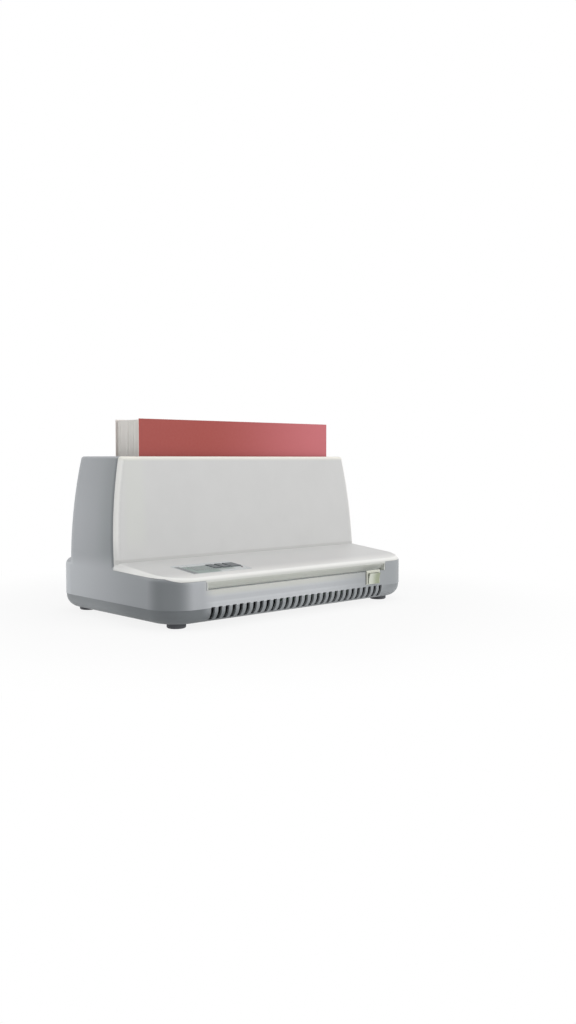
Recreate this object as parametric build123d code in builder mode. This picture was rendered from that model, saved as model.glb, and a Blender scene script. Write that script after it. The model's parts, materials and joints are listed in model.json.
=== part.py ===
"""Thermal binding machine: a desk machine that melts the glue in a document's spine.

X runs to the right, Y to the back and Z up. The origin is on the table, below the middle
of the machine's overall box. All sizes are in millimetres.
"""

from build123d import *
import os
from math import atan2, cos, degrees, radians, sin, sqrt

os.makedirs("parts", exist_ok=True)

# ---------------------------------------------------------------- driving dimensions
# Casing
CASING_WIDTH = 384.0  # widest, across the base
CASING_DEPTH = 234.0  # base, front wall to rear wall
TOP_Z = 184.0  # top of the tower
TOWER_TAPER = 13.0  # how far each end of the tower curves in towards the top
WALL = 2.5
SEAM = 0.25  # open joint between neighbouring casing pieces
BASE_CORNER = 38.0  # corner radius of the base in plan
PARTING_Z = 22.0  # joint between the casing and the pan
SHELF_FRONT_Z = 56.0
CREASE_Z = 66.0  # where the shelf meets the tower
CREASE_SETBACK = 99.5
TOWER_LEAN = 8.8  # how far the tower's front leans back
TOWER_DEPTH = 108.0  # at the ledge
REAR_LEAN = 5.0  # how far the tower's rear leans forward
LEDGE_Z = 64.0  # the base behind the tower
NOSE_RADIUS = 8.0
LEDGE_RADIUS = 8.0
TOWER_FRONT_RADIUS = 9.0
TOWER_REAR_RADIUS = 18.0
TOP_RADIUS = 4.0
RIM_DEPTH = 5.0  # how far the front cover wraps round the tower's ends
COVER_EDGE_REAR_Z = 57.7  # lower edge of the front cover, at the tower
COVER_EDGE_SIDE_Z = 55.0  # where it starts to drop round the front corner
COVER_EDGE_FRONT_Z = 51.5
COVER_EDGE_DROP = (18.0, 5.0)  # the drop's ends, from the base's front wall

# Finger groove under the nose of the front cover
GROOVE_SETBACK = 49.0  # from the casing's sides
GROOVE_DEPTH = 9.0
GROOVE_TOP_Z = 50.0
LIP_Z = 41.0
GROOVE_END = 2.0

# Base pan, front slots and feet
PAN_Z = 5.5
PAN_INSET = 0.6
PAN_RADIUS = 15.0
AIR_SLOT_SETBACK = 58.0  # least distance of a slot's middle from the casing's sides
AIR_SLOT_PITCH = 9.9
AIR_SLOT_WIDTH = 5.2
AIR_SLOT_BOTTOM_Z = 8.6
AIR_SLOT_TOP_Z = 22.8
FOOT_RADIUS = 10.5
FOOT_STEM_RADIUS = 4.0
FOOT_STEM_LENGTH = 5.0
FOOT_ROUND = 1.8
FOOT_SIDE_SETBACK = 31.0
FOOT_FRONT_SETBACK = 29.5
FOOT_REAR_SETBACK = 26.5

# Binding slot, liner, bed and document
SLOT_END = 17.0  # from the tower's ends, at the top
SLOT_WIDTH = 56.0
SLOT_SETBACK = 10.2  # tower's front top edge to the slot
LINER_WALL = 1.2
LINER_FLANGE = 3.5
BED_Z = 16.0  # where the spine stands
BED_THICKNESS = 4.0
BED_OVERHANG = 1.3
BED_END = 8.0  # how far the bed reaches past the slot's ends
BED_FIN_HEIGHT = 18.0
BED_FIN_THICKNESS = 3.0
ELEMENT_THICKNESS = 0.8
INSULATION_THICKNESS = 2.2
TRAY_WALL = 1.0
TRAY_LIP = 5.0
TRAY_EAR_LENGTH = 5.6
TRAY_EAR_WIDTH = 14.0
TRAY_SCREW_LENGTH = 2.0
BED_GAP = 0.3
DOCUMENT_END_GAP = 10.5  # at each end of the slot, when it stands in the middle
DOCUMENT_HEIGHT = 211.0
DOCUMENT_THICKNESS = 48.5
DOCUMENT_SHIFT = 5.9  # it stands a little to the right
DOCUMENT_FRONT_GAP = 2.0
DOCUMENT_BED_GAP = 0.2
COVER_SHEET = 0.8
PAGE_INSET = 2.0
PAGE_DROP = 1.0

# Control panel on the shelf, in the shelf's own plane
PANEL_SIDE_SETBACK = 87.0  # from the casing's left side to the panel's middle
PANEL_SETBACK = 39.5  # from the base's front wall
PANEL_LENGTH = 84.0
PANEL_DEPTH = 46.0
PANEL_THICKNESS = 1.0
PANEL_PROUD = 0.2
PANEL_CORNER = 4.0
WINDOW_X = -15.0
WINDOW_LENGTH = 24.0
WINDOW_DEPTH = 18.0
WINDOW_THICKNESS = 2.2
KEY_CENTRES = {"start_key": 31.5, "up_key": 17.5, "down_key": 5.0}
KEY_LENGTHS = {"start_key": 14.0, "up_key": 9.0, "down_key": 9.0}
KEY_DEPTH = 18.0
KEY_Y = 3.0
KEY_PROUD = 1.0
KEY_TRAVEL = 0.8
KEY_FLANGE = 0.8
KEY_FLANGE_THICKNESS = 0.8
KEY_GAP = 0.25
LAMP_X = 34.5
LAMP_Y = -12.0
LAMP_RADIUS = 1.5
BOARD_DROP = 8.2  # shelf surface to the control board's top
BOARD_THICKNESS = 1.6
BOARD_MARGIN = 1.0
BOARD_POST_RADIUS = 3.0
BOARD_SCREW_RADIUS = 1.2
BOARD_SCREW_HEAD = 2.4
BOARD_SCREW_LENGTH = 4.0
TACT_SIZE = 6.0
TACT_STEM_RADIUS = 1.7
TACT_STEM = 0.6
BUZZER_RADIUS = 6.0
BUZZER_HEIGHT = 5.0

# Power switch at the front right: it rocks about a level axle, upper end out
SWITCH_SIDE_SETBACK = 73.5  # from the casing's right side to the switch's middle
SWITCH_Z = 33.5
SWITCH_INNER_LENGTH = 20.0
SWITCH_INNER_HEIGHT = 11.9
SWITCH_WALL = 0.7
SWITCH_SIDE_RIM = 2.5
SWITCH_TOP_RIM = 3.3
SWITCH_BOTTOM_RIM = 2.1
SWITCH_BEZEL = 1.8
SWITCH_CHAMFER = 1.0
SWITCH_BODY_DEPTH = 14.0
SWITCH_PROUD = 5.0  # the rocker's upper end, in front of the wall
SWITCH_TERMINAL_DEPTH = 7.0
SWITCH_BLADE = 1.0
ROCKER_TILT = 8.0
ROCKER_STEM = 10.2  # height inside the frame
ROCKER_CAP = 13.2  # height in front of the frame
ROCKER_CAP_EDGE = 1.0
ROCKER_SIDE_GAP = 0.3
ROCKER_DISH = 0.9
ROCKER_KEEL = 3.0
ROCKER_AXLE_RADIUS = 1.5
ROCKER_AXLE_DEPTH = 1.6  # axle line, behind the front wall's face
AXLE_CLEARANCE = 0.05
AXLE_POCKET = 0.4
AXLE_END_GAP = 0.1

# Mains inlet and fuse at the rear
INLET_SIDE_SETBACK = 74.0
INLET_Z = 43.0
INLET_FLANGE_LENGTH = 31.0
INLET_FLANGE_HEIGHT = 25.0
INLET_PROUD = 3.0
INLET_CORNER = 3.0
INLET_BODY_LENGTH = 27.0
INLET_BODY_HEIGHT = 20.0
INLET_BODY_DEPTH = 20.0
INLET_SOCKET_LENGTH = 24.4
INLET_SOCKET_HEIGHT = 16.8
INLET_SOCKET_DEPTH = 17.0
PIN_LENGTH = 14.0
PIN_WIDTH = 2.0
PIN_HEIGHT = 4.0
PIN_SPREAD = 7.0
PIN_DROP = 2.0
FUSE_SPACING = 34.0  # from the inlet's middle
FUSE_BODY_RADIUS = 6.5
FUSE_CAP_RADIUS = 7.5
FUSE_DEPTH = 22.0
FUSE_BORE_RADIUS = 3.0
FUSE_RADIUS = 2.6
FUSE_LENGTH = 18.0
FUSE_SLOT_WIDTH = 1.0
FUSE_SLOT_DEPTH = 1.0

# Rear cover
REAR_COVER_SETBACK = 42.0  # from the casing's sides
REAR_COVER_LOW_Z = 25.0
REAR_COVER_HIGH_Z = 171.0
REAR_SLOT_COUNT = 16
REAR_SLOT_PITCH = 8.0
REAR_SLOT_WIDTH = 3.2
REAR_SLOT_LOW_Z = 104.0
REAR_SLOT_HIGH_Z = 150.0
REAR_SCREW_INSET = 6.0
REAR_SCREW_HEIGHTS = (40.0, 90.0, 160.0)
REAR_SCREW_RADIUS = 2.0
REAR_SCREW_HEAD = 3.6
REAR_SCREW_HEAD_HEIGHT = 2.0
REAR_SCREW_LENGTH = 9.0
SCREW_SLOT_WIDTH = 0.8
SCREW_SLOT_DEPTH = 1.0
TAB_DEPTH = 9.0
TAB_SIZE = 14.0

# Posts and screws that hold the pan to the casing
POST_SIDE_SETBACK = 52.0
POST_FRONT_SETBACK = 62.0
POST_REAR_SETBACK = 20.0
POST_RADIUS = 5.0
POST_TOP_Z = 46.0
POST_LOW_Z = 16.0
WEB_THICKNESS = 3.0
WEB_LOW_Z = 30.0
CASING_SCREW_RADIUS = 2.0
CASING_SCREW_HEAD = 3.8
CASING_SCREW_HEAD_HEIGHT = 1.6
CASING_SCREW_LENGTH = 18.0

# Power electronics under the shelf
POWER_BOARD_X = 40.0
POWER_BOARD_SETBACK = 54.0
POWER_BOARD_LENGTH = 116.0
POWER_BOARD_DEPTH = 62.0
POWER_BOARD_Z = 15.0
POWER_POST_RADIUS = 3.5
POWER_POST_INSET = 5.0
TRANSFORMER = (38.0, 32.0, 27.0)
TRANSFORMER_BOBBIN = (26.0, 42.0, 20.0)
TRANSFORMER_X = 30.0
RELAY = (20.0, 16.0, 16.0)
RELAY_X = -10.0
TERMINAL_COUNT = 4
TERMINAL_PITCH = 8.0
TERMINAL_DEPTH = 11.0
TERMINAL_HEIGHT = 10.0
TERMINAL_SCREW_RADIUS = 2.0

# Document sensor at the slot's front wall
SENSOR_X = 100.0
SENSOR_WIDTH = 7.0
SENSOR_DEPTH = 14.0
SENSOR_LOW_Z = 34.0
SENSOR_HEIGHT = 18.0
LEVER_WIDTH = 5.0
LEVER_THICKNESS = 1.6
LEVER_PIVOT_SETBACK = 6.0  # pivot, in front of the slot's front wall
LEVER_PIVOT_Z = 44.0
LEVER_TIP_Z = 18.6
LEVER_EYE_RADIUS = 3.0
LEVER_PIN_RADIUS = 1.0
LEVER_DOCUMENT_GAP = 0.3
SENSOR_WINDOW_HEIGHT = 22.0
SENSOR_WINDOW_GAP = 0.6

# Heat sensors on the bed's fin
THERMOSTAT_X = -70.0
THERMOSTAT_RADIUS = 8.0
THERMOSTAT_CAP_RADIUS = 6.4
THERMOSTAT_BASE = 4.5
THERMOSTAT_BLADE = 4.0
THERMOSTAT_DEPTH = 9.0
CUTOFF_X = 60.0
CUTOFF_RADIUS = 2.0
CUTOFF_LENGTH = 12.0
CUTOFF_CLIP = 1.0

# ---------------------------------------------------------------- derived places
HALF_WIDTH = CASING_WIDTH / 2
TOP_WIDTH = CASING_WIDTH - 2 * TOWER_TAPER
SLOT_LENGTH = TOP_WIDTH - 2 * SLOT_END
DOCUMENT_LENGTH = SLOT_LENGTH - 2 * DOCUMENT_END_GAP
GROOVE_LENGTH = CASING_WIDTH - 2 * GROOVE_SETBACK
REAR_COVER_LENGTH = CASING_WIDTH - 2 * REAR_COVER_SETBACK
AIR_SLOT_COUNT = 1 + int((CASING_WIDTH - 2 * AIR_SLOT_SETBACK) / AIR_SLOT_PITCH)
FOOT_SPREAD_X = HALF_WIDTH - FOOT_SIDE_SETBACK
POST_X = HALF_WIDTH - POST_SIDE_SETBACK
PANEL_X = PANEL_SIDE_SETBACK - HALF_WIDTH
SWITCH_X = HALF_WIDTH - SWITCH_SIDE_SETBACK
INLET_X = HALF_WIDTH - INLET_SIDE_SETBACK
FUSE_X = INLET_X - FUSE_SPACING
FRONT_Y = SWITCH_PROUD - (CASING_DEPTH + SWITCH_PROUD + INLET_PROUD) / 2
REAR_Y = FRONT_Y + CASING_DEPTH
MID_Y = (FRONT_Y + REAR_Y) / 2
CREASE_Y = FRONT_Y + CREASE_SETBACK
TOP_FRONT_Y = CREASE_Y + TOWER_LEAN
TOWER_REAR_Y = CREASE_Y + TOWER_DEPTH
TOP_REAR_Y = TOWER_REAR_Y - REAR_LEAN
SLOT_FRONT_Y = TOP_FRONT_Y + SLOT_SETBACK
SLOT_REAR_Y = SLOT_FRONT_Y + SLOT_WIDTH
SLOT_MID_Y = (SLOT_FRONT_Y + SLOT_REAR_Y) / 2
SHELF_SLOPE = (CREASE_Z - SHELF_FRONT_Z) / CREASE_SETBACK
COVER_EDGE_SLOPE = (COVER_EDGE_REAR_Z - COVER_EDGE_SIDE_Z) / (CREASE_SETBACK - COVER_EDGE_DROP[0])
FRONT_SLOPE = TOWER_LEAN / (TOP_Z - CREASE_Z)
REAR_SLOPE = REAR_LEAN / (TOP_Z - LEDGE_Z)
REAR_LEAN_ANGLE = degrees(atan2(REAR_LEAN, TOP_Z - LEDGE_Z))
SHELF_ANGLE = degrees(atan2(CREASE_Z - SHELF_FRONT_Z, CREASE_SETBACK))
PAN_FLOOR_Z = PAN_Z + WALL
FAR = CASING_WIDTH + CASING_DEPTH  # longer than anything it has to cut through


def front_wall_y(z):
    """The tower's front face, as Y at a height."""
    return CREASE_Y + FRONT_SLOPE * (z - CREASE_Z)


def cover_edge_z(y):
    """The lower edge of the front cover along the casing's sides."""
    return COVER_EDGE_REAR_Z + COVER_EDGE_SLOPE * (y - CREASE_Y)


def rear_wall_plane(x, z):
    """A plane on the rear face, looking out of the machine."""
    if z < LEDGE_Z:
        return Plane(origin=(x, REAR_Y, z), x_dir=(-1, 0, 0), z_dir=(0, 1, 0))
    y = TOWER_REAR_Y - REAR_SLOPE * (z - LEDGE_Z)
    lean = radians(REAR_LEAN_ANGLE)
    return Plane(origin=(x, y, z), x_dir=(-1, 0, 0), z_dir=(0, cos(lean), sin(lean)))


def block(x0, x1, y0, y1, z0, z1):
    """A box between two corners, for cutting and joining."""
    with BuildPart() as made:
        with BuildSketch(Plane.XY.offset(z0)):
            with Locations(((x0 + x1) / 2, (y0 + y1) / 2)):
                Rectangle(x1 - x0, y1 - y0)
        extrude(amount=z1 - z0)
    return made.part


def prism(points, half_length):
    """An outline in Y and Z, drawn out along X to both sides."""
    with BuildPart() as made:
        with BuildSketch(Plane.YZ):
            with BuildLine():
                Polyline(*points, close=True)
            make_face()
        extrude(amount=half_length, both=True)
    return made.part


# ---------------------------------------------------------------- the casing's form
def plan_form(inset, low_z, high_z, corner):
    """The rounded rectangle of the base, as a column."""
    with BuildPart() as made:
        with BuildSketch(Plane(origin=(0, MID_Y, low_z))):
            RectangleRounded(CASING_WIDTH - 2 * inset, CASING_DEPTH - 2 * inset, corner - inset)
        extrude(amount=high_z - low_z)
    return made.part


def base_block(outline, inset, radius):
    """A length of the base under one flat top, with its outer top edges rounded."""
    with BuildPart() as made:
        add(prism(outline, HALF_WIDTH))
        add(plan_form(inset, PARTING_Z - WALL, TOP_Z, BASE_CORNER), mode=Mode.INTERSECT)
        top = made.faces().sort_by(Axis.Z)[-1]
        inner_edge = top.edges().filter_by(Axis.X).sort_by(lambda e: abs(e.center().Y - MID_Y))[0]
        outer_edges = [edge for edge in top.edges() if not edge.is_same(inner_edge)]
        fillet(outer_edges, radius=radius - inset)
    return made.part


def tower_block(inset):
    """The tower: leaning front and rear, ends that curve in, edges rounded."""
    low_z = PARTING_Z - inset
    half = HALF_WIDTH - inset
    top_half = TOP_WIDTH / 2 - inset
    top_z = TOP_Z - inset
    outline = [
        (front_wall_y(low_z) + inset, low_z),
        (front_wall_y(top_z) + inset, top_z),
        (TOWER_REAR_Y - REAR_SLOPE * (top_z - LEDGE_Z) - inset, top_z),
        (TOWER_REAR_Y + REAR_SLOPE * (LEDGE_Z - low_z) - inset, low_z),
    ]
    with BuildPart() as made:
        add(prism(outline, HALF_WIDTH))
        with BuildSketch(Plane.XZ.offset(-FAR / 2)):
            with BuildLine():
                Line((-half, low_z), (half, low_z))
                Line((half, low_z), (half, CREASE_Z))
                TangentArc((half, CREASE_Z), (top_half, top_z), tangent=(0, 1))
                Line((top_half, top_z), (-top_half, top_z))
                TangentArc((-half, CREASE_Z), (-top_half, top_z), tangent=(0, 1))
                Line((-half, CREASE_Z), (-half, low_z))
            make_face()
        extrude(amount=FAR, mode=Mode.INTERSECT)
        uprights = made.edges().filter_by(lambda e: abs(e.tangent_at(0.5).Z) > 0.9)
        middle_y = (TOP_FRONT_Y + TOP_REAR_Y) / 2
        fillet(uprights.filter_by(lambda e: e.center().Y > middle_y), radius=TOWER_REAR_RADIUS - inset)
        uprights = made.edges().filter_by(lambda e: abs(e.tangent_at(0.5).Z) > 0.9)
        front = uprights.filter_by(lambda e: e.center().Y < CREASE_Y + TOWER_LEAN + inset + 1)
        fillet(front, radius=TOWER_FRONT_RADIUS - inset)
        fillet(made.faces().sort_by(Axis.Z)[-1].edges(), radius=TOP_RADIUS - inset)
    return made.part


def casing_form(inset):
    """The whole outer form, or the hollow inside it at a wall's thickness."""
    shelf_top = SHELF_FRONT_Z - inset * sqrt(1 + SHELF_SLOPE**2)
    low_z = PARTING_Z - inset
    behind = CREASE_Y + RIM_DEPTH + TOWER_FRONT_RADIUS + WALL
    shelf = [
        (FRONT_Y - WALL, low_z),
        (FRONT_Y - WALL, shelf_top - SHELF_SLOPE * WALL),
        (behind, shelf_top + SHELF_SLOPE * (behind - FRONT_Y)),
        (behind, low_z),
    ]
    ledge = [
        (SLOT_REAR_Y, low_z),
        (SLOT_REAR_Y, LEDGE_Z - inset),
        (REAR_Y + WALL, LEDGE_Z - inset),
        (REAR_Y + WALL, low_z),
    ]
    with BuildPart() as made:
        add(tower_block(inset))
        add(base_block(shelf, inset, NOSE_RADIUS))
        add(base_block(ledge, inset, LEDGE_RADIUS))
        low = plan_form(inset, low_z, COVER_EDGE_FRONT_Z - 4 * WALL, BASE_CORNER)
        add(low)
    return made.part


outer_form = casing_form(0)
inner_form = casing_form(WALL)


def front_cover_region(gap):
    """All that belongs to the front cover, pulled back by a gap."""
    ahead = FRONT_Y - 2 * WALL
    seam_y = CREASE_Y + RIM_DEPTH - gap
    low = cover_edge_z(seam_y) + gap
    above = TOP_Z + WALL
    lean = FRONT_SLOPE
    drop_y = [FRONT_Y + setback for setback in COVER_EDGE_DROP]
    outline = [
        (ahead, COVER_EDGE_FRONT_Z + gap),
        (drop_y[1], COVER_EDGE_FRONT_Z + gap),
        (drop_y[0], COVER_EDGE_SIDE_Z + gap),
        (seam_y + lean * (low - CREASE_Z), low),
        (seam_y + lean * (above - CREASE_Z), above),
        (ahead, above),
    ]
    half = GROOVE_LENGTH / 2 - gap
    with BuildPart() as made:
        add(prism(outline, HALF_WIDTH + WALL))
        add(block(-half, half, ahead, FRONT_Y + GROOVE_DEPTH, LIP_Z + gap, COVER_EDGE_REAR_Z))
    return made.part


# ---------------------------------------------------------------- document sensor places
LEVER_PIVOT_Y = SLOT_FRONT_Y - LINER_WALL - LEVER_PIVOT_SETBACK
DOCUMENT_FRONT_Y = SLOT_FRONT_Y + DOCUMENT_FRONT_GAP
LEVER_TIP_Y = DOCUMENT_FRONT_Y - LEVER_DOCUMENT_GAP

# ---------------------------------------------------------------- switch places
SWITCH_PLANE = Plane(origin=(SWITCH_X, FRONT_Y, SWITCH_Z), x_dir=(1, 0, 0), z_dir=(0, -1, 0))
SWITCH_HOLE_LENGTH = SWITCH_INNER_LENGTH + 2 * SWITCH_WALL
SWITCH_HOLE_HEIGHT = SWITCH_INNER_HEIGHT + 2 * SWITCH_WALL

# ---------------------------------------------------------------- control panel places
PANEL_Y = FRONT_Y + PANEL_SETBACK
PANEL_PLANE = Plane(
    origin=(PANEL_X, PANEL_Y, SHELF_FRONT_Z + SHELF_SLOPE * PANEL_SETBACK),
    x_dir=(1, 0, 0),
    z_dir=(0, -sin(radians(SHELF_ANGLE)), cos(radians(SHELF_ANGLE))),
)
BOARD_LENGTH = PANEL_LENGTH - 2 * BOARD_MARGIN
BOARD_DEPTH = PANEL_DEPTH - 2 * BOARD_MARGIN
BOARD_HOLE_SPACING = (BOARD_LENGTH - 3 * BOARD_POST_RADIUS, BOARD_DEPTH - 3 * BOARD_POST_RADIUS)

# ---------------------------------------------------------------- air slots
def front_air_slots():
    """The row of upright slots through the casing's low front wall and the pan."""
    with BuildPart() as made:
        with BuildSketch(Plane.XZ.offset(-FRONT_Y - PAN_RADIUS)):
            with Locations((0, (AIR_SLOT_BOTTOM_Z + AIR_SLOT_TOP_Z) / 2)):
                with GridLocations(AIR_SLOT_PITCH, 0, AIR_SLOT_COUNT, 1):
                    Rectangle(AIR_SLOT_WIDTH, AIR_SLOT_TOP_Z - AIR_SLOT_BOTTOM_Z)
        extrude(amount=2 * PAN_RADIUS)
    return made.part


air_slots = front_air_slots()

# ---------------------------------------------------------------- main housing
POST_FRONT_Y = FRONT_Y + POST_FRONT_SETBACK
POST_REAR_Y = REAR_Y - POST_REAR_SETBACK
POSTS = [(side * POST_X, y) for side in (-1, 1) for y in (POST_FRONT_Y, POST_REAR_Y)]
REAR_COVER_HALF = REAR_COVER_LENGTH / 2
REAR_SCREW_X = REAR_COVER_HALF - REAR_SCREW_INSET
REAR_SCREWS = [(side * REAR_SCREW_X, z) for side in (-1, 1) for z in REAR_SCREW_HEIGHTS]


def rear_tab(x, z):
    """A tab behind the rear cover's edge, which its screw bites into."""
    y = rear_wall_plane(x, z).origin.Y
    outer_x = x + (TAB_SIZE if x > 0 else -TAB_SIZE)
    low_x, high_x = min(outer_x, x - TAB_SIZE / 2), max(outer_x, x + TAB_SIZE / 2)
    with BuildPart() as made:
        add(block(low_x, high_x, y - TAB_DEPTH - WALL, y + WALL, z - TAB_SIZE / 2, z + TAB_SIZE / 2))
        add(inner_form, mode=Mode.INTERSECT)
    return made.part


def post_web(x, y):
    """A post for a pan screw, with the web that ties it to the casing's side."""
    side = 1 if x > 0 else -1
    ends = sorted((x, side * (HALF_WIDTH - WALL / 2)))
    with BuildPart() as made:
        with BuildSketch(Plane.XY.offset(POST_LOW_Z)):
            with Locations((x, y)):
                Circle(POST_RADIUS)
        extrude(amount=POST_TOP_Z - POST_LOW_Z)
        half = WEB_THICKNESS / 2
        add(block(ends[0], ends[1], y - half, y + half, WEB_LOW_Z, POST_TOP_Z))
        add(outer_form, mode=Mode.INTERSECT)
    return made.part


with BuildPart() as main_housing:
    add(outer_form)
    add(inner_form, mode=Mode.SUBTRACT)
    add(front_cover_region(0), mode=Mode.SUBTRACT)
    half = REAR_COVER_HALF
    low_y = TOP_REAR_Y - 2 * WALL
    add(block(-half, half, low_y, REAR_Y + WALL, REAR_COVER_LOW_Z, REAR_COVER_HIGH_Z), mode=Mode.SUBTRACT)
    slot_half = SLOT_LENGTH / 2
    slot_cut = block(-slot_half, slot_half, SLOT_FRONT_Y, SLOT_REAR_Y, TOP_Z - 2 * WALL, TOP_Z + WALL)
    add(slot_cut, mode=Mode.SUBTRACT)
    lip_half = GROOVE_LENGTH / 2
    lip_rear_y = FRONT_Y + GROOVE_DEPTH + WALL
    add(block(-lip_half, lip_half, FRONT_Y + WALL / 2, lip_rear_y, LIP_Z - WALL, LIP_Z))
    for x, z in REAR_SCREWS:
        add(rear_tab(x, z))
        with BuildSketch(rear_wall_plane(x, z)):
            Circle(REAR_SCREW_RADIUS)
        extrude(amount=-REAR_SCREW_LENGTH, mode=Mode.SUBTRACT)
    for x, y in POSTS:
        add(post_web(x, y))
        with BuildSketch(Plane.XY.offset(POST_LOW_Z)):
            with Locations((x, y)):
                Circle(CASING_SCREW_RADIUS)
        extrude(amount=CASING_SCREW_LENGTH, mode=Mode.SUBTRACT)
    with BuildSketch(SWITCH_PLANE):
        Rectangle(SWITCH_HOLE_LENGTH, SWITCH_HOLE_HEIGHT)
    extrude(amount=-SWITCH_BODY_DEPTH, mode=Mode.SUBTRACT)
    add(air_slots, mode=Mode.SUBTRACT)
main_housing.part.label = "main_housing"
export_step(main_housing.part, "parts/main_housing.step")

# ---------------------------------------------------------------- front cover
GROOVE_HALF = GROOVE_LENGTH / 2 - SEAM
GROOVE_LOW_Z = LIP_Z + SEAM
groove_cut = [
    (FRONT_Y - 2 * WALL, GROOVE_TOP_Z),
    (FRONT_Y, GROOVE_TOP_Z),
    (FRONT_Y + GROOVE_DEPTH, GROOVE_LOW_Z),
    (FRONT_Y + GROOVE_DEPTH, LIP_Z - WALL),
    (FRONT_Y - 2 * WALL, LIP_Z - WALL),
]
groove_back = [
    (FRONT_Y, GROOVE_TOP_Z),
    (FRONT_Y + GROOVE_DEPTH, GROOVE_LOW_Z),
    (FRONT_Y + GROOVE_DEPTH + WALL, GROOVE_LOW_Z),
    (FRONT_Y + WALL, GROOVE_TOP_Z + WALL),
]
groove_end = [
    (FRONT_Y, GROOVE_TOP_Z),
    (FRONT_Y + GROOVE_DEPTH, GROOVE_LOW_Z),
    (FRONT_Y, GROOVE_LOW_Z),
]


with BuildPart() as front_cover:
    add(outer_form)
    add(inner_form, mode=Mode.SUBTRACT)
    add(front_cover_region(SEAM), mode=Mode.INTERSECT)
    add(prism(groove_cut, GROOVE_HALF), mode=Mode.SUBTRACT)
    add(prism(groove_back, GROOVE_HALF))
    for side in (-1, 1):
        end_x = sorted((side * GROOVE_HALF, side * (GROOVE_HALF - GROOVE_END)))
        with BuildSketch(Plane.YZ.offset(end_x[0])):
            with BuildLine():
                Polyline(*groove_end, close=True)
            make_face()
        extrude(amount=GROOVE_END)
    # pocket for the control panel, then the posts under it
    with BuildSketch(PANEL_PLANE.offset(PANEL_PROUD - PANEL_THICKNESS)):
        RectangleRounded(PANEL_LENGTH + 2 * SEAM, PANEL_DEPTH + 2 * SEAM, PANEL_CORNER)
    extrude(amount=2 * PANEL_THICKNESS, mode=Mode.SUBTRACT)
    with BuildSketch(PANEL_PLANE.offset(-BOARD_DROP)):
        with GridLocations(*BOARD_HOLE_SPACING, 2, 2):
            Circle(BOARD_POST_RADIUS)
    extrude(amount=BOARD_DROP - PANEL_THICKNESS - KEY_GAP)
    with BuildSketch(PANEL_PLANE.offset(-BOARD_DROP)):
        with GridLocations(*BOARD_HOLE_SPACING, 2, 2):
            Circle(BOARD_SCREW_RADIUS)
    extrude(amount=BOARD_SCREW_LENGTH, mode=Mode.SUBTRACT)
    with BuildSketch(PANEL_PLANE.offset(-2 * WALL)):
        with Locations((WINDOW_X, 0)):
            Rectangle(WINDOW_LENGTH + 2 * KEY_GAP, WINDOW_DEPTH + 2 * KEY_GAP)
        for name, key_x in KEY_CENTRES.items():
            with Locations((key_x, KEY_Y)):
                Rectangle(KEY_LENGTHS[name] + 2 * KEY_GAP, KEY_DEPTH + 2 * KEY_GAP)
        with Locations((LAMP_X, LAMP_Y)):
            Circle(LAMP_RADIUS + KEY_GAP)
    extrude(amount=4 * WALL, mode=Mode.SUBTRACT)
front_cover.part.label = "front_cover"
export_step(front_cover.part, "parts/front_cover.step")

# ---------------------------------------------------------------- rear cover
with BuildPart() as rear_cover:
    add(outer_form)
    add(inner_form, mode=Mode.SUBTRACT)
    half = REAR_COVER_HALF - SEAM
    low_y = TOP_REAR_Y - 2 * WALL + SEAM
    low_z = REAR_COVER_LOW_Z + SEAM
    high_z = REAR_COVER_HIGH_Z - SEAM
    add(block(-half, half, low_y, REAR_Y + WALL, low_z, high_z), mode=Mode.INTERSECT)
    with BuildSketch(rear_wall_plane(0, (REAR_SLOT_LOW_Z + REAR_SLOT_HIGH_Z) / 2)):
        with GridLocations(REAR_SLOT_PITCH, 0, REAR_SLOT_COUNT, 1):
            SlotOverall(REAR_SLOT_HIGH_Z - REAR_SLOT_LOW_Z, REAR_SLOT_WIDTH, rotation=90)
    extrude(amount=WALL, both=True, mode=Mode.SUBTRACT)
    for x, z in REAR_SCREWS:
        with BuildSketch(rear_wall_plane(x, z)):
            Circle(REAR_SCREW_RADIUS + SEAM)
        extrude(amount=2 * WALL, both=True, mode=Mode.SUBTRACT)
    with BuildSketch(rear_wall_plane(INLET_X, INLET_Z)):
        Rectangle(INLET_BODY_LENGTH + 2 * SEAM, INLET_BODY_HEIGHT + 2 * SEAM)
    extrude(amount=2 * WALL, both=True, mode=Mode.SUBTRACT)
    with BuildSketch(rear_wall_plane(FUSE_X, INLET_Z)):
        Circle(FUSE_BODY_RADIUS + SEAM)
    extrude(amount=2 * WALL, both=True, mode=Mode.SUBTRACT)
rear_cover.part.label = "rear_cover"
export_step(rear_cover.part, "parts/rear_cover.step")

with BuildPart() as rear_cover_screws:
    for x, z in REAR_SCREWS:
        with BuildSketch(rear_wall_plane(x, z)):
            Circle(REAR_SCREW_HEAD)
        extrude(amount=REAR_SCREW_HEAD_HEIGHT)
        with BuildSketch(rear_wall_plane(x, z)):
            Circle(REAR_SCREW_RADIUS)
        extrude(amount=-REAR_SCREW_LENGTH)
    for x, z in REAR_SCREWS:
        with BuildSketch(rear_wall_plane(x, z).offset(REAR_SCREW_HEAD_HEIGHT)):
            Rectangle(REAR_SCREW_HEAD, SCREW_SLOT_WIDTH)
            Rectangle(SCREW_SLOT_WIDTH, REAR_SCREW_HEAD)
        extrude(amount=-SCREW_SLOT_DEPTH, mode=Mode.SUBTRACT)
rear_cover_screws.part.label = "rear_cover_screws"
export_step(rear_cover_screws.part, "parts/rear_cover_screws.step")

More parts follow.
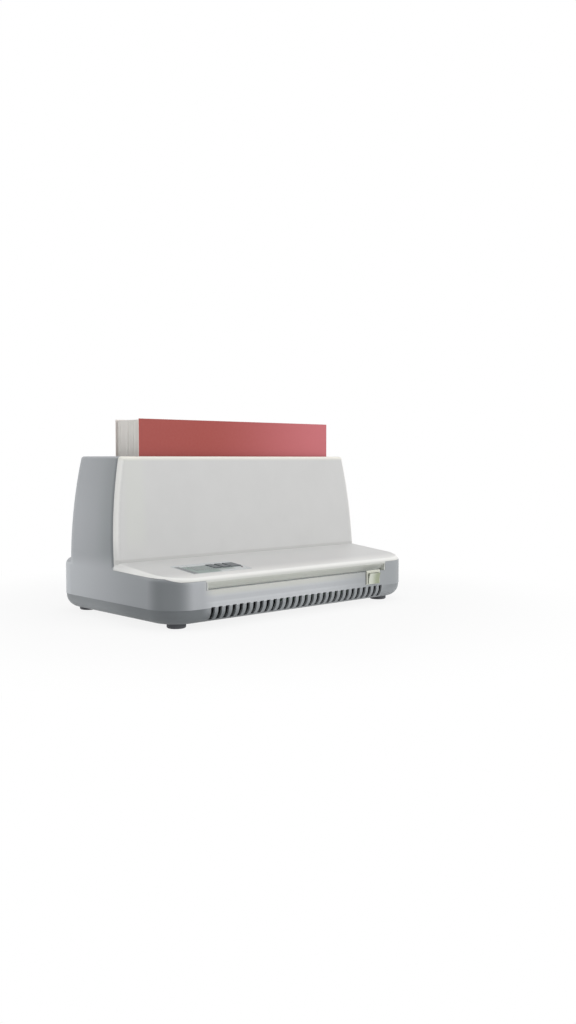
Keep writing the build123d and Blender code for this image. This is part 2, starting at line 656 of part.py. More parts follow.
# ---------------------------------------------------------------- base pan and feet
FOOT_FRONT_Y = FRONT_Y + FOOT_FRONT_SETBACK
FOOT_REAR_Y = REAR_Y - FOOT_REAR_SETBACK
FEET = {
    "foot_front_left": (-FOOT_SPREAD_X, FOOT_FRONT_Y),
    "foot_front_right": (FOOT_SPREAD_X, FOOT_FRONT_Y),
    "foot_rear_left": (-FOOT_SPREAD_X, FOOT_REAR_Y),
    "foot_rear_right": (FOOT_SPREAD_X, FOOT_REAR_Y),
}
POWER_BOARD_Y = FRONT_Y + POWER_BOARD_SETBACK
POWER_POST_SPACING = (
    POWER_BOARD_LENGTH - 2 * POWER_POST_INSET,
    POWER_BOARD_DEPTH - 2 * POWER_POST_INSET,
)
BED_HALF_LENGTH = SLOT_LENGTH / 2 + BED_END
TRAY_HALF_LENGTH = BED_HALF_LENGTH + BED_GAP
TRAY_SCREW_X = TRAY_HALF_LENGTH + TRAY_EAR_LENGTH / 2


def pan_form(inset):
    """The pan's outer form, rounded under, or its hollow."""
    with BuildPart() as made:
        add(plan_form(PAN_INSET + inset, PAN_Z + inset, PARTING_Z, BASE_CORNER))
        fillet(made.faces().sort_by(Axis.Z)[0].edges(), radius=PAN_RADIUS - inset)
    return made.part


with BuildPart() as base_pan:
    add(pan_form(0))
    add(pan_form(WALL), mode=Mode.SUBTRACT)
    for x, y in POSTS:
        with BuildSketch(Plane.XY.offset(PAN_Z)):
            with Locations((x, y)):
                Circle(POST_RADIUS)
        extrude(amount=POST_LOW_Z - PAN_Z)
    with BuildSketch(Plane.XY.offset(PAN_FLOOR_Z)):
        with Locations((POWER_BOARD_X, POWER_BOARD_Y)):
            with GridLocations(*POWER_POST_SPACING, 2, 2):
                Circle(POWER_POST_RADIUS)
    extrude(amount=POWER_BOARD_Z - PAN_FLOOR_Z)
    with BuildSketch(Plane.XY.offset(PAN_FLOOR_Z)):
        with Locations((POWER_BOARD_X, POWER_BOARD_Y)):
            with GridLocations(*POWER_POST_SPACING, 2, 2):
                Circle(BOARD_SCREW_RADIUS)
    extrude(amount=POWER_BOARD_Z - PAN_FLOOR_Z, mode=Mode.SUBTRACT)
    for x, y in POSTS:
        with BuildSketch(Plane.XY.offset(PAN_Z)):
            with Locations((x, y)):
                Circle(CASING_SCREW_RADIUS)
        extrude(amount=POST_LOW_Z - PAN_Z, mode=Mode.SUBTRACT)
        with BuildSketch(Plane.XY.offset(PAN_Z)):
            with Locations((x, y)):
                Circle(CASING_SCREW_HEAD + SEAM)
        extrude(amount=CASING_SCREW_HEAD_HEIGHT, mode=Mode.SUBTRACT)
    for x, y in FEET.values():
        with BuildSketch(Plane.XY.offset(PAN_Z)):
            with Locations((x, y)):
                Circle(FOOT_STEM_RADIUS)
        extrude(amount=WALL, mode=Mode.SUBTRACT)
    with BuildSketch(Plane(origin=(0, SLOT_MID_Y, PAN_FLOOR_Z))):
        with GridLocations(2 * TRAY_SCREW_X, 0, 2, 1):
            Circle(BOARD_SCREW_RADIUS)
    extrude(amount=-TRAY_SCREW_LENGTH, mode=Mode.SUBTRACT)
    add(air_slots, mode=Mode.SUBTRACT)
base_pan.part.label = "base_pan"
export_step(base_pan.part, "parts/base_pan.step")

with BuildPart() as casing_screws:
    for x, y in POSTS:
        with BuildSketch(Plane.XY.offset(PAN_Z)):
            with Locations((x, y)):
                Circle(CASING_SCREW_HEAD)
        extrude(amount=CASING_SCREW_HEAD_HEIGHT)
        with BuildSketch(Plane.XY.offset(PAN_Z + CASING_SCREW_HEAD_HEIGHT)):
            with Locations((x, y)):
                Circle(CASING_SCREW_RADIUS)
        extrude(amount=POST_LOW_Z - PAN_Z - CASING_SCREW_HEAD_HEIGHT + CASING_SCREW_LENGTH / 2)
casing_screws.part.label = "casing_screws"
export_step(casing_screws.part, "parts/casing_screws.step")

for foot_name, (x, y) in FEET.items():
    with BuildPart() as foot:
        with BuildSketch(Plane.XY):
            with Locations((x, y)):
                Circle(FOOT_RADIUS)
        extrude(amount=PAN_Z)
        fillet(foot.edges().sort_by(Axis.Z)[0], radius=FOOT_ROUND)
        with BuildSketch(Plane.XY.offset(PAN_Z)):
            with Locations((x, y)):
                Circle(FOOT_STEM_RADIUS)
        extrude(amount=FOOT_STEM_LENGTH)
    foot.part.label = foot_name
    export_step(foot.part, f"parts/{foot_name}.step")

# ---------------------------------------------------------------- slot liner
LINER_LOW_Z = BED_Z + BED_GAP
LINER_HIGH_Z = TOP_Z - WALL
SENSOR_WINDOW_X = SENSOR_X + SENSOR_WIDTH / 2 + BED_GAP + LEVER_WIDTH / 2

with BuildPart() as slot_liner:
    with BuildSketch(Plane(origin=(0, SLOT_MID_Y, LINER_LOW_Z))):
        Rectangle(SLOT_LENGTH + 2 * LINER_WALL, SLOT_WIDTH + 2 * LINER_WALL)
    extrude(amount=LINER_HIGH_Z - LINER_LOW_Z)
    with BuildSketch(Plane(origin=(0, SLOT_MID_Y, LINER_HIGH_Z))):
        flange = LINER_WALL + LINER_FLANGE
        Rectangle(SLOT_LENGTH + 2 * flange, SLOT_WIDTH + 2 * flange)
    extrude(amount=-LINER_WALL)
    with BuildSketch(Plane(origin=(0, SLOT_MID_Y, LINER_LOW_Z))):
        Rectangle(SLOT_LENGTH, SLOT_WIDTH)
    extrude(amount=LINER_HIGH_Z - LINER_LOW_Z, mode=Mode.SUBTRACT)
    with BuildSketch(Plane.XZ.offset(-SLOT_FRONT_Y)):
        with Locations((SENSOR_WINDOW_X, LINER_LOW_Z + SENSOR_WINDOW_HEIGHT / 2)):
            Rectangle(LEVER_WIDTH + 2 * SENSOR_WINDOW_GAP, SENSOR_WINDOW_HEIGHT)
    extrude(amount=2 * LINER_WALL, both=True, mode=Mode.SUBTRACT)
slot_liner.part.label = "slot_liner"
export_step(slot_liner.part, "parts/slot_liner.step")

# ---------------------------------------------------------------- heater
BED_FRONT_Y = SLOT_FRONT_Y - BED_OVERHANG
FIN_FRONT_Y = SLOT_REAR_Y + LINER_WALL + BED_GAP
BED_REAR_Y = FIN_FRONT_Y + BED_FIN_THICKNESS
BED_LOW_Z = BED_Z - BED_THICKNESS
ELEMENT_LOW_Z = BED_LOW_Z - ELEMENT_THICKNESS
INSULATION_LOW_Z = ELEMENT_LOW_Z - INSULATION_THICKNESS
TRAY_LOW_Z = INSULATION_LOW_Z - TRAY_WALL
TRAY_FRONT_Y = BED_FRONT_Y - BED_GAP - TRAY_WALL
TRAY_REAR_Y = BED_REAR_Y + BED_GAP + TRAY_WALL
FIN_TOP_Z = BED_Z + BED_FIN_HEIGHT

with BuildPart() as heater_bed:
    add(block(-BED_HALF_LENGTH, BED_HALF_LENGTH, BED_FRONT_Y, BED_REAR_Y, BED_LOW_Z, BED_Z))
    add(block(-BED_HALF_LENGTH, BED_HALF_LENGTH, FIN_FRONT_Y, BED_REAR_Y, BED_Z, FIN_TOP_Z))
heater_bed.part.label = "heater_bed"
export_step(heater_bed.part, "parts/heater_bed.step")

with BuildPart() as heating_element:
    with BuildSketch(Plane(origin=(0, SLOT_MID_Y, ELEMENT_LOW_Z))):
        Rectangle(SLOT_LENGTH, SLOT_WIDTH)
    extrude(amount=ELEMENT_THICKNESS)
heating_element.part.label = "heating_element"
export_step(heating_element.part, "parts/heating_element.step")

with BuildPart() as insulation_board:
    half = BED_HALF_LENGTH
    add(block(-half, half, BED_FRONT_Y, BED_REAR_Y, INSULATION_LOW_Z, ELEMENT_LOW_Z))
insulation_board.part.label = "insulation_board"
export_step(insulation_board.part, "parts/insulation_board.step")

with BuildPart() as heater_tray:
    half = TRAY_HALF_LENGTH
    add(block(-half, half, TRAY_FRONT_Y, TRAY_REAR_Y, TRAY_LOW_Z, INSULATION_LOW_Z))
    lip_z = INSULATION_LOW_Z + TRAY_LIP
    add(block(-half, half, TRAY_FRONT_Y, TRAY_FRONT_Y + TRAY_WALL, INSULATION_LOW_Z, lip_z))
    add(block(-half, half, TRAY_REAR_Y - TRAY_WALL, TRAY_REAR_Y, INSULATION_LOW_Z, lip_z))
    with BuildSketch(Plane(origin=(0, SLOT_MID_Y, TRAY_LOW_Z))):
        Rectangle(2 * (half + TRAY_EAR_LENGTH), TRAY_EAR_WIDTH)
    extrude(amount=TRAY_WALL)
    with BuildSketch(Plane(origin=(0, SLOT_MID_Y, TRAY_LOW_Z))):
        with GridLocations(2 * TRAY_SCREW_X, 0, 2, 1):
            Circle(BOARD_SCREW_RADIUS)
    extrude(amount=TRAY_WALL, mode=Mode.SUBTRACT)
heater_tray.part.label = "heater_tray"
export_step(heater_tray.part, "parts/heater_tray.step")

with BuildPart() as tray_screws:
    with BuildSketch(Plane(origin=(0, SLOT_MID_Y, INSULATION_LOW_Z))):
        with GridLocations(2 * TRAY_SCREW_X, 0, 2, 1):
            Circle(BOARD_SCREW_HEAD)
    extrude(amount=BOARD_THICKNESS)
    with BuildSketch(Plane(origin=(0, SLOT_MID_Y, INSULATION_LOW_Z))):
        with GridLocations(2 * TRAY_SCREW_X, 0, 2, 1):
            Circle(BOARD_SCREW_RADIUS)
    extrude(amount=-TRAY_WALL - TRAY_SCREW_LENGTH)
tray_screws.part.label = "tray_screws"
export_step(tray_screws.part, "parts/tray_screws.step")

FIN_MIDDLE_Z = BED_Z + BED_FIN_HEIGHT / 2
THERMOSTAT_PLANE = Plane(
    origin=(THERMOSTAT_X, BED_REAR_Y, FIN_MIDDLE_Z), x_dir=(-1, 0, 0), z_dir=(0, 1, 0)
)
with BuildPart() as bed_thermostat:
    with BuildSketch(THERMOSTAT_PLANE):
        Circle(THERMOSTAT_RADIUS)
    extrude(amount=THERMOSTAT_BASE)
    with BuildSketch(THERMOSTAT_PLANE):
        Circle(THERMOSTAT_CAP_RADIUS)
    extrude(amount=THERMOSTAT_DEPTH)
    with BuildSketch(THERMOSTAT_PLANE.offset(THERMOSTAT_DEPTH)):
        with GridLocations(THERMOSTAT_RADIUS, 0, 2, 1):
            Rectangle(TRAY_WALL, THERMOSTAT_BLADE)
    extrude(amount=THERMOSTAT_BLADE)
bed_thermostat.part.label = "bed_thermostat"
export_step(bed_thermostat.part, "parts/bed_thermostat.step")

CUTOFF_Y = BED_REAR_Y + CUTOFF_RADIUS
CLIP_REAR_Y = CUTOFF_Y + CUTOFF_RADIUS + CUTOFF_CLIP
CLIP_HALF = 2 * CUTOFF_RADIUS
with BuildPart() as thermal_cutoff:
    with BuildSketch(Plane.YZ.offset(CUTOFF_X)):
        with Locations((CUTOFF_Y, FIN_MIDDLE_Z)):
            Circle(CUTOFF_RADIUS)
    extrude(amount=CUTOFF_LENGTH / 2, both=True)
    low_z, high_z = FIN_MIDDLE_Z - CLIP_HALF, FIN_MIDDLE_Z + CLIP_HALF
    low_x, high_x = CUTOFF_X - CUTOFF_RADIUS, CUTOFF_X + CUTOFF_RADIUS
    add(block(low_x, high_x, BED_REAR_Y, CLIP_REAR_Y, low_z, high_z))
thermal_cutoff.part.label = "thermal_cutoff"
export_step(thermal_cutoff.part, "parts/thermal_cutoff.step")

# ---------------------------------------------------------------- document in the slot
DOCUMENT_REAR_Y = DOCUMENT_FRONT_Y + DOCUMENT_THICKNESS
DOCUMENT_LOW_Z = BED_Z + DOCUMENT_BED_GAP
DOCUMENT_HIGH_Z = DOCUMENT_LOW_Z + DOCUMENT_HEIGHT
DOCUMENT_LOW_X = DOCUMENT_SHIFT - DOCUMENT_LENGTH / 2
DOCUMENT_HIGH_X = DOCUMENT_SHIFT + DOCUMENT_LENGTH / 2

PAGES_FRONT_Y = DOCUMENT_FRONT_Y + COVER_SHEET
PAGES_REAR_Y = DOCUMENT_REAR_Y - COVER_SHEET
PAGES_LOW_Z = DOCUMENT_LOW_Z + COVER_SHEET
PAGES_HIGH_Z = DOCUMENT_HIGH_Z - PAGE_DROP

with BuildPart() as document_cover:
    low_x, high_x = DOCUMENT_LOW_X, DOCUMENT_HIGH_X
    add(block(low_x, high_x, DOCUMENT_FRONT_Y, DOCUMENT_REAR_Y, DOCUMENT_LOW_Z, DOCUMENT_HIGH_Z))
    inside = block(low_x, high_x, PAGES_FRONT_Y, PAGES_REAR_Y, PAGES_LOW_Z, DOCUMENT_HIGH_Z)
    add(inside, mode=Mode.SUBTRACT)
document_cover.part.label = "document_cover"
export_step(document_cover.part, "parts/document_cover.step")

with BuildPart() as document_pages:
    low_x, high_x = DOCUMENT_LOW_X + PAGE_INSET, DOCUMENT_HIGH_X - PAGE_INSET
    add(block(low_x, high_x, PAGES_FRONT_Y, PAGES_REAR_Y, PAGES_LOW_Z, PAGES_HIGH_Z))
document_pages.part.label = "document_pages"
export_step(document_pages.part, "parts/document_pages.step")

# ---------------------------------------------------------------- control panel
with BuildPart() as control_panel:
    with BuildSketch(PANEL_PLANE.offset(PANEL_PROUD - PANEL_THICKNESS)):
        RectangleRounded(PANEL_LENGTH, PANEL_DEPTH, PANEL_CORNER - SEAM)
        with Locations((WINDOW_X, 0)):
            Rectangle(WINDOW_LENGTH + 2 * KEY_GAP, WINDOW_DEPTH + 2 * KEY_GAP, mode=Mode.SUBTRACT)
        for name, key_x in KEY_CENTRES.items():
            with Locations((key_x, KEY_Y)):
                opening = (KEY_LENGTHS[name] + 2 * KEY_GAP, KEY_DEPTH + 2 * KEY_GAP)
                Rectangle(*opening, mode=Mode.SUBTRACT)
        with Locations((LAMP_X, LAMP_Y)):
            Circle(LAMP_RADIUS + KEY_GAP, mode=Mode.SUBTRACT)
    extrude(amount=PANEL_THICKNESS)
control_panel.part.label = "control_panel"
export_step(control_panel.part, "parts/control_panel.step")

with BuildPart() as display_window:
    with BuildSketch(PANEL_PLANE.offset(PANEL_PROUD - WINDOW_THICKNESS)):
        with Locations((WINDOW_X, 0)):
            Rectangle(WINDOW_LENGTH, WINDOW_DEPTH)
    extrude(amount=WINDOW_THICKNESS)
display_window.part.label = "display_window"
export_step(display_window.part, "parts/display_window.step")

with BuildPart() as display_module:
    with BuildSketch(PANEL_PLANE.offset(-BOARD_DROP)):
        with Locations((WINDOW_X, 0)):
            Rectangle(WINDOW_LENGTH - 2 * KEY_GAP, WINDOW_DEPTH - 2 * KEY_GAP)
    extrude(amount=BOARD_DROP + PANEL_PROUD - WINDOW_THICKNESS)
display_module.part.label = "display_module"
export_step(display_module.part, "parts/display_module.step")

KEY_LOW = -WALL - KEY_GAP  # top of a key's flange, under the shelf's inner face
for key_name, key_x in KEY_CENTRES.items():
    with BuildPart() as key:
        with BuildSketch(PANEL_PLANE.offset(KEY_LOW)):
            with Locations((key_x, KEY_Y)):
                Rectangle(KEY_LENGTHS[key_name], KEY_DEPTH)
        extrude(amount=KEY_PROUD - KEY_LOW)
        fillet(key.faces().sort_by(SortBy.DISTANCE)[-1].edges(), radius=KEY_GAP)
        with BuildSketch(PANEL_PLANE.offset(KEY_LOW)):
            with Locations((key_x, KEY_Y)):
                flange = 2 * KEY_FLANGE
                Rectangle(KEY_LENGTHS[key_name] + flange, KEY_DEPTH + flange)
        extrude(amount=-KEY_FLANGE_THICKNESS)
    key.part.label = key_name
    export_step(key.part, f"parts/{key_name}.step")

with BuildPart() as status_lamp:
    with BuildSketch(PANEL_PLANE.offset(-BOARD_DROP)):
        with Locations((LAMP_X, LAMP_Y)):
            Circle(LAMP_RADIUS)
    extrude(amount=BOARD_DROP + LAMP_RADIUS / 2)
    fillet(status_lamp.edges().sort_by(Axis.Z)[-1], radius=LAMP_RADIUS / 2)
status_lamp.part.label = "status_lamp"
export_step(status_lamp.part, "parts/status_lamp.step")

with BuildPart() as control_board:
    with BuildSketch(PANEL_PLANE.offset(-BOARD_DROP)):
        Rectangle(BOARD_LENGTH, BOARD_DEPTH)
        with GridLocations(*BOARD_HOLE_SPACING, 2, 2):
            Circle(BOARD_SCREW_RADIUS, mode=Mode.SUBTRACT)
    extrude(amount=-BOARD_THICKNESS)
control_board.part.label = "control_board"
export_step(control_board.part, "parts/control_board.step")

TACT_TOP = KEY_LOW - KEY_FLANGE_THICKNESS - KEY_TRAVEL - KEY_GAP / 2
with BuildPart() as tact_switches:
    for key_x in KEY_CENTRES.values():
        with BuildSketch(PANEL_PLANE.offset(-BOARD_DROP)):
            with Locations((key_x, KEY_Y)):
                Rectangle(TACT_SIZE, TACT_SIZE)
        extrude(amount=TACT_TOP - TACT_STEM + BOARD_DROP)
        with BuildSketch(PANEL_PLANE.offset(TACT_TOP)):
            with Locations((key_x, KEY_Y)):
                Circle(TACT_STEM_RADIUS)
        extrude(amount=-TACT_STEM)
tact_switches.part.label = "tact_switches"
export_step(tact_switches.part, "parts/tact_switches.step")

with BuildPart() as buzzer:
    with BuildSketch(PANEL_PLANE.offset(-BOARD_DROP - BOARD_THICKNESS)):
        with Locations((WINDOW_X, 0)):
            Circle(BUZZER_RADIUS)
    extrude(amount=-BUZZER_HEIGHT)
buzzer.part.label = "buzzer"
export_step(buzzer.part, "parts/buzzer.step")

with BuildPart() as control_board_screws:
    with BuildSketch(PANEL_PLANE.offset(-BOARD_DROP - BOARD_THICKNESS)):
        with GridLocations(*BOARD_HOLE_SPACING, 2, 2):
            Circle(BOARD_SCREW_HEAD)
    extrude(amount=-BOARD_THICKNESS)
    with BuildSketch(PANEL_PLANE.offset(-BOARD_DROP - BOARD_THICKNESS)):
        with GridLocations(*BOARD_HOLE_SPACING, 2, 2):
            Circle(BOARD_SCREW_RADIUS)
    extrude(amount=BOARD_THICKNESS + BOARD_SCREW_LENGTH)
control_board_screws.part.label = "control_board_screws"
export_step(control_board_screws.part, "parts/control_board_screws.step")

# ---------------------------------------------------------------- power switch
AXLE_Y = FRONT_Y + ROCKER_AXLE_DEPTH
BEZEL_LENGTH = SWITCH_INNER_LENGTH + 2 * SWITCH_SIDE_RIM
BEZEL_HEIGHT = SWITCH_INNER_HEIGHT + SWITCH_TOP_RIM + SWITCH_BOTTOM_RIM
with BuildPart() as power_switch_frame:
    with BuildSketch(SWITCH_PLANE):
        with Locations((0, (SWITCH_TOP_RIM - SWITCH_BOTTOM_RIM) / 2)):
            Rectangle(BEZEL_LENGTH, BEZEL_HEIGHT)
    extrude(amount=SWITCH_BEZEL)
    chamfer(faces().sort_by(Axis.Y)[0].outer_wire().edges(), SWITCH_CHAMFER)
    with BuildSketch(SWITCH_PLANE):
        Rectangle(SWITCH_HOLE_LENGTH, SWITCH_HOLE_HEIGHT)
    extrude(amount=-SWITCH_BODY_DEPTH)
    with BuildSketch(SWITCH_PLANE.offset(SWITCH_BEZEL)):
        Rectangle(SWITCH_INNER_LENGTH, SWITCH_INNER_HEIGHT)
    extrude(amount=-SWITCH_BODY_DEPTH, mode=Mode.SUBTRACT)
    with BuildSketch(Plane.YZ.offset(SWITCH_X)):
        with Locations((AXLE_Y, SWITCH_Z)):
            Circle(ROCKER_AXLE_RADIUS + AXLE_CLEARANCE)
    extrude(amount=SWITCH_INNER_LENGTH / 2 + AXLE_POCKET, both=True, mode=Mode.SUBTRACT)
    with BuildSketch(SWITCH_PLANE.offset(-SWITCH_BODY_DEPTH)):
        with GridLocations(SWITCH_INNER_LENGTH / 2, 0, 2, 1):
            Rectangle(SWITCH_BLADE, SWITCH_INNER_HEIGHT / 2)
    extrude(amount=-SWITCH_TERMINAL_DEPTH)
power_switch_frame.part.label = "power_switch_frame"
export_step(power_switch_frame.part, "parts/power_switch_frame.step")

# The rocker is a stem that fits in the frame and a cap that reaches over its rims.
# Its sizes here run up the rocker and out of its face, from the axle.
TILT_SIN, TILT_COS = sin(radians(ROCKER_TILT)), cos(radians(ROCKER_TILT))
CAP_REACH = SWITCH_PROUD + ROCKER_AXLE_DEPTH - ROCKER_CAP / 2 * TILT_SIN
CAP_FACE = CAP_REACH / TILT_COS
CAP_BACK = CAP_FACE - ROCKER_CAP_EDGE
ROCKER_PLANE = Plane(
    origin=(SWITCH_X, AXLE_Y, SWITCH_Z), x_dir=(0, -TILT_SIN, TILT_COS), z_dir=(1, 0, 0)
)
with BuildPart() as power_rocker:
    with BuildSketch(ROCKER_PLANE):
        with BuildLine():
            low, high = (-ROCKER_CAP / 2, CAP_FACE), (ROCKER_CAP / 2, CAP_FACE)
            Polyline(
                low,
                (-ROCKER_CAP / 2, CAP_BACK),
                (-ROCKER_STEM / 2, CAP_BACK),
                (-ROCKER_STEM / 2, 0),
                (0, -ROCKER_KEEL),
                (ROCKER_STEM / 2, 0),
                (ROCKER_STEM / 2, CAP_BACK),
                (ROCKER_CAP / 2, CAP_BACK),
                high,
            )
            ThreePointArc(high, (0, CAP_FACE - ROCKER_DISH), low)
        make_face()
    extrude(amount=SWITCH_INNER_LENGTH / 2 - ROCKER_SIDE_GAP, both=True)
    with BuildSketch(ROCKER_PLANE):
        Circle(ROCKER_AXLE_RADIUS)
    extrude(amount=SWITCH_INNER_LENGTH / 2 + AXLE_POCKET - AXLE_END_GAP, both=True)
power_rocker.part.label = "power_rocker"
export_step(power_rocker.part, "parts/power_rocker.step")

# ---------------------------------------------------------------- mains inlet and fuse
INLET_PLANE = rear_wall_plane(INLET_X, INLET_Z)
with BuildPart() as mains_inlet:
    with BuildSketch(INLET_PLANE):
        RectangleRounded(INLET_FLANGE_LENGTH, INLET_FLANGE_HEIGHT, INLET_CORNER)
    extrude(amount=INLET_PROUD)
    with BuildSketch(INLET_PLANE):
        Rectangle(INLET_BODY_LENGTH, INLET_BODY_HEIGHT)
    extrude(amount=-INLET_BODY_DEPTH)
    with BuildSketch(INLET_PLANE.offset(INLET_PROUD)):
        Rectangle(INLET_SOCKET_LENGTH, INLET_SOCKET_HEIGHT)
    extrude(amount=-INLET_SOCKET_DEPTH, mode=Mode.SUBTRACT)
    with BuildSketch(INLET_PLANE.offset(INLET_PROUD - INLET_SOCKET_DEPTH)):
        with Locations((-PIN_SPREAD, -PIN_DROP), (PIN_SPREAD, -PIN_DROP), (0, PIN_DROP)):
            Rectangle(PIN_WIDTH, PIN_HEIGHT)
    extrude(amount=PIN_LENGTH)
mains_inlet.part.label = "mains_inlet"
export_step(mains_inlet.part, "parts/mains_inlet.step")

FUSE_PLANE = rear_wall_plane(FUSE_X, INLET_Z)
with BuildPart() as fuse_holder:
    with BuildSketch(FUSE_PLANE):
        Circle(FUSE_CAP_RADIUS)
    extrude(amount=INLET_PROUD)
    with BuildSketch(FUSE_PLANE.offset(INLET_PROUD)):
        Rectangle(FUSE_CAP_RADIUS, FUSE_SLOT_WIDTH)
    extrude(amount=-FUSE_SLOT_DEPTH, mode=Mode.SUBTRACT)
    with BuildSketch(FUSE_PLANE):
        Circle(FUSE_BODY_RADIUS)
    extrude(amount=-FUSE_DEPTH)
    with BuildSketch(FUSE_PLANE.offset(-FUSE_DEPTH)):
        Circle(FUSE_BORE_RADIUS)
    extrude(amount=FUSE_LENGTH + WALL, mode=Mode.SUBTRACT)
fuse_holder.part.label = "fuse_holder"
export_step(fuse_holder.part, "parts/fuse_holder.step")

with BuildPart() as mains_fuse:
    with BuildSketch(FUSE_PLANE.offset(WALL - FUSE_DEPTH)):
        Circle(FUSE_RADIUS)
    extrude(amount=FUSE_LENGTH)
mains_fuse.part.label = "mains_fuse"
export_step(mains_fuse.part, "parts/mains_fuse.step")

# ---------------------------------------------------------------- power electronics
POWER_BOARD_TOP_Z = POWER_BOARD_Z + BOARD_THICKNESS
with BuildPart() as power_board:
    with BuildSketch(Plane(origin=(POWER_BOARD_X, POWER_BOARD_Y, POWER_BOARD_Z))):
        Rectangle(POWER_BOARD_LENGTH, POWER_BOARD_DEPTH)
        with GridLocations(*POWER_POST_SPACING, 2, 2):
            Circle(BOARD_SCREW_RADIUS, mode=Mode.SUBTRACT)
    extrude(amount=BOARD_THICKNESS)
power_board.part.label = "power_board"
export_step(power_board.part, "parts/power_board.step")

with BuildPart() as power_board_screws:
    with BuildSketch(Plane(origin=(POWER_BOARD_X, POWER_BOARD_Y, POWER_BOARD_TOP_Z))):
        with GridLocations(*POWER_POST_SPACING, 2, 2):
            Circle(BOARD_SCREW_HEAD)
    extrude(amount=BOARD_THICKNESS)
    with BuildSketch(Plane(origin=(POWER_BOARD_X, POWER_BOARD_Y, POWER_BOARD_TOP_Z))):
        with GridLocations(*POWER_POST_SPACING, 2, 2):
            Circle(BOARD_SCREW_RADIUS)
    extrude(amount=-BOARD_THICKNESS - BOARD_SCREW_LENGTH)
power_board_screws.part.label = "power_board_screws"
export_step(power_board_screws.part, "parts/power_board_screws.step")

with BuildPart() as transformer:
    with Locations((POWER_BOARD_X + TRANSFORMER_X, POWER_BOARD_Y, POWER_BOARD_TOP_Z)):
        Box(*TRANSFORMER, align=(Align.CENTER, Align.CENTER, Align.MIN))
        Box(*TRANSFORMER_BOBBIN, align=(Align.CENTER, Align.CENTER, Align.MIN))
transformer.part.label = "transformer"
export_step(transformer.part, "parts/transformer.step")

with BuildPart() as relay:
    with Locations((POWER_BOARD_X + RELAY_X, POWER_BOARD_Y, POWER_BOARD_TOP_Z)):
        Box(*RELAY, align=(Align.CENTER, Align.CENTER, Align.MIN))
    fillet(relay.faces().sort_by(Axis.Z)[-1].edges(), radius=BOARD_THICKNESS / 2)
relay.part.label = "relay"
export_step(relay.part, "parts/relay.step")

TERMINAL_X = POWER_BOARD_X - POWER_BOARD_LENGTH / 2 + TERMINAL_PITCH * (TERMINAL_COUNT + 1) / 2
with BuildPart() as terminal_block:
    with Locations((TERMINAL_X, POWER_BOARD_Y, POWER_BOARD_TOP_Z)):
        Box(TERMINAL_PITCH * TERMINAL_COUNT, TERMINAL_DEPTH, TERMINAL_HEIGHT,
            align=(Align.CENTER, Align.CENTER, Align.MIN))
    with BuildSketch(Plane(origin=(TERMINAL_X, POWER_BOARD_Y, POWER_BOARD_TOP_Z + TERMINAL_HEIGHT))):
        with GridLocations(TERMINAL_PITCH, 0, TERMINAL_COUNT, 1):
            Circle(TERMINAL_SCREW_RADIUS)
    extrude(amount=-TERMINAL_HEIGHT / 2, mode=Mode.SUBTRACT)
terminal_block.part.label = "terminal_block"
export_step(terminal_block.part, "parts/terminal_block.step")

# ---------------------------------------------------------------- document sensor
SENSOR_REAR_Y = SLOT_FRONT_Y - LINER_WALL
SENSOR_FRONT_Y = SENSOR_REAR_Y - SENSOR_DEPTH
SENSOR_HIGH_X = SENSOR_X + SENSOR_WIDTH / 2
SENSOR_HIGH_Z = SENSOR_LOW_Z + SENSOR_HEIGHT
with BuildPart() as document_sensor:
    low_x = SENSOR_HIGH_X - SENSOR_WIDTH
    add(block(low_x, SENSOR_HIGH_X, SENSOR_FRONT_Y, SENSOR_REAR_Y, SENSOR_LOW_Z, SENSOR_HIGH_Z))
    with BuildSketch(Plane.YZ.offset(SENSOR_X)):
        with Locations((LEVER_PIVOT_Y, LEVER_PIVOT_Z)):
            Circle(LEVER_PIN_RADIUS)
    extrude(amount=SENSOR_WIDTH / 2, mode=Mode.SUBTRACT)
document_sensor.part.label = "document_sensor"
export_step(document_sensor.part, "parts/document_sensor.step")

PIN_HEAD_X = SENSOR_HIGH_X + 2 * BED_GAP + LEVER_WIDTH
with BuildPart() as sensor_pin:
    with BuildSketch(Plane.YZ.offset(SENSOR_X)):
        with Locations((LEVER_PIVOT_Y, LEVER_PIVOT_Z)):
            Circle(LEVER_PIN_RADIUS)
    extrude(amount=PIN_HEAD_X + TRAY_WALL - SENSOR_X)
    with BuildSketch(Plane.YZ.offset(PIN_HEAD_X)):
        with Locations((LEVER_PIVOT_Y, LEVER_PIVOT_Z)):
            Circle(2 * LEVER_PIN_RADIUS)
    extrude(amount=TRAY_WALL)
sensor_pin.part.label = "sensor_pin"
export_step(sensor_pin.part, "parts/sensor_pin.step")

LEVER_ARM_Y = LEVER_PIVOT_Y + LEVER_EYE_RADIUS - LEVER_THICKNESS
lever_arm = [
    (LEVER_PIVOT_Y, LEVER_PIVOT_Z - LEVER_PIN_RADIUS),
    (LEVER_ARM_Y, LEVER_TIP_Z),
    (LEVER_TIP_Y, LEVER_TIP_Z),
    (LEVER_TIP_Y, LEVER_TIP_Z + LEVER_THICKNESS),
    (LEVER_ARM_Y + LEVER_THICKNESS, LEVER_TIP_Z + 2 * LEVER_THICKNESS),
    (LEVER_PIVOT_Y + LEVER_EYE_RADIUS, LEVER_PIVOT_Z - LEVER_PIN_RADIUS),
]
LEVER_LOW_X = SENSOR_HIGH_X + BED_GAP
with BuildPart() as sensor_lever:
    with BuildSketch(Plane.YZ.offset(LEVER_LOW_X)):
        with BuildLine():
            Polyline(*lever_arm, close=True)
        make_face()
        with Locations((LEVER_PIVOT_Y, LEVER_PIVOT_Z)):
            Circle(LEVER_EYE_RADIUS)
            Circle(LEVER_PIN_RADIUS + AXLE_CLEARANCE, mode=Mode.SUBTRACT)
    extrude(amount=LEVER_WIDTH)
sensor_lever.part.label = "sensor_lever"
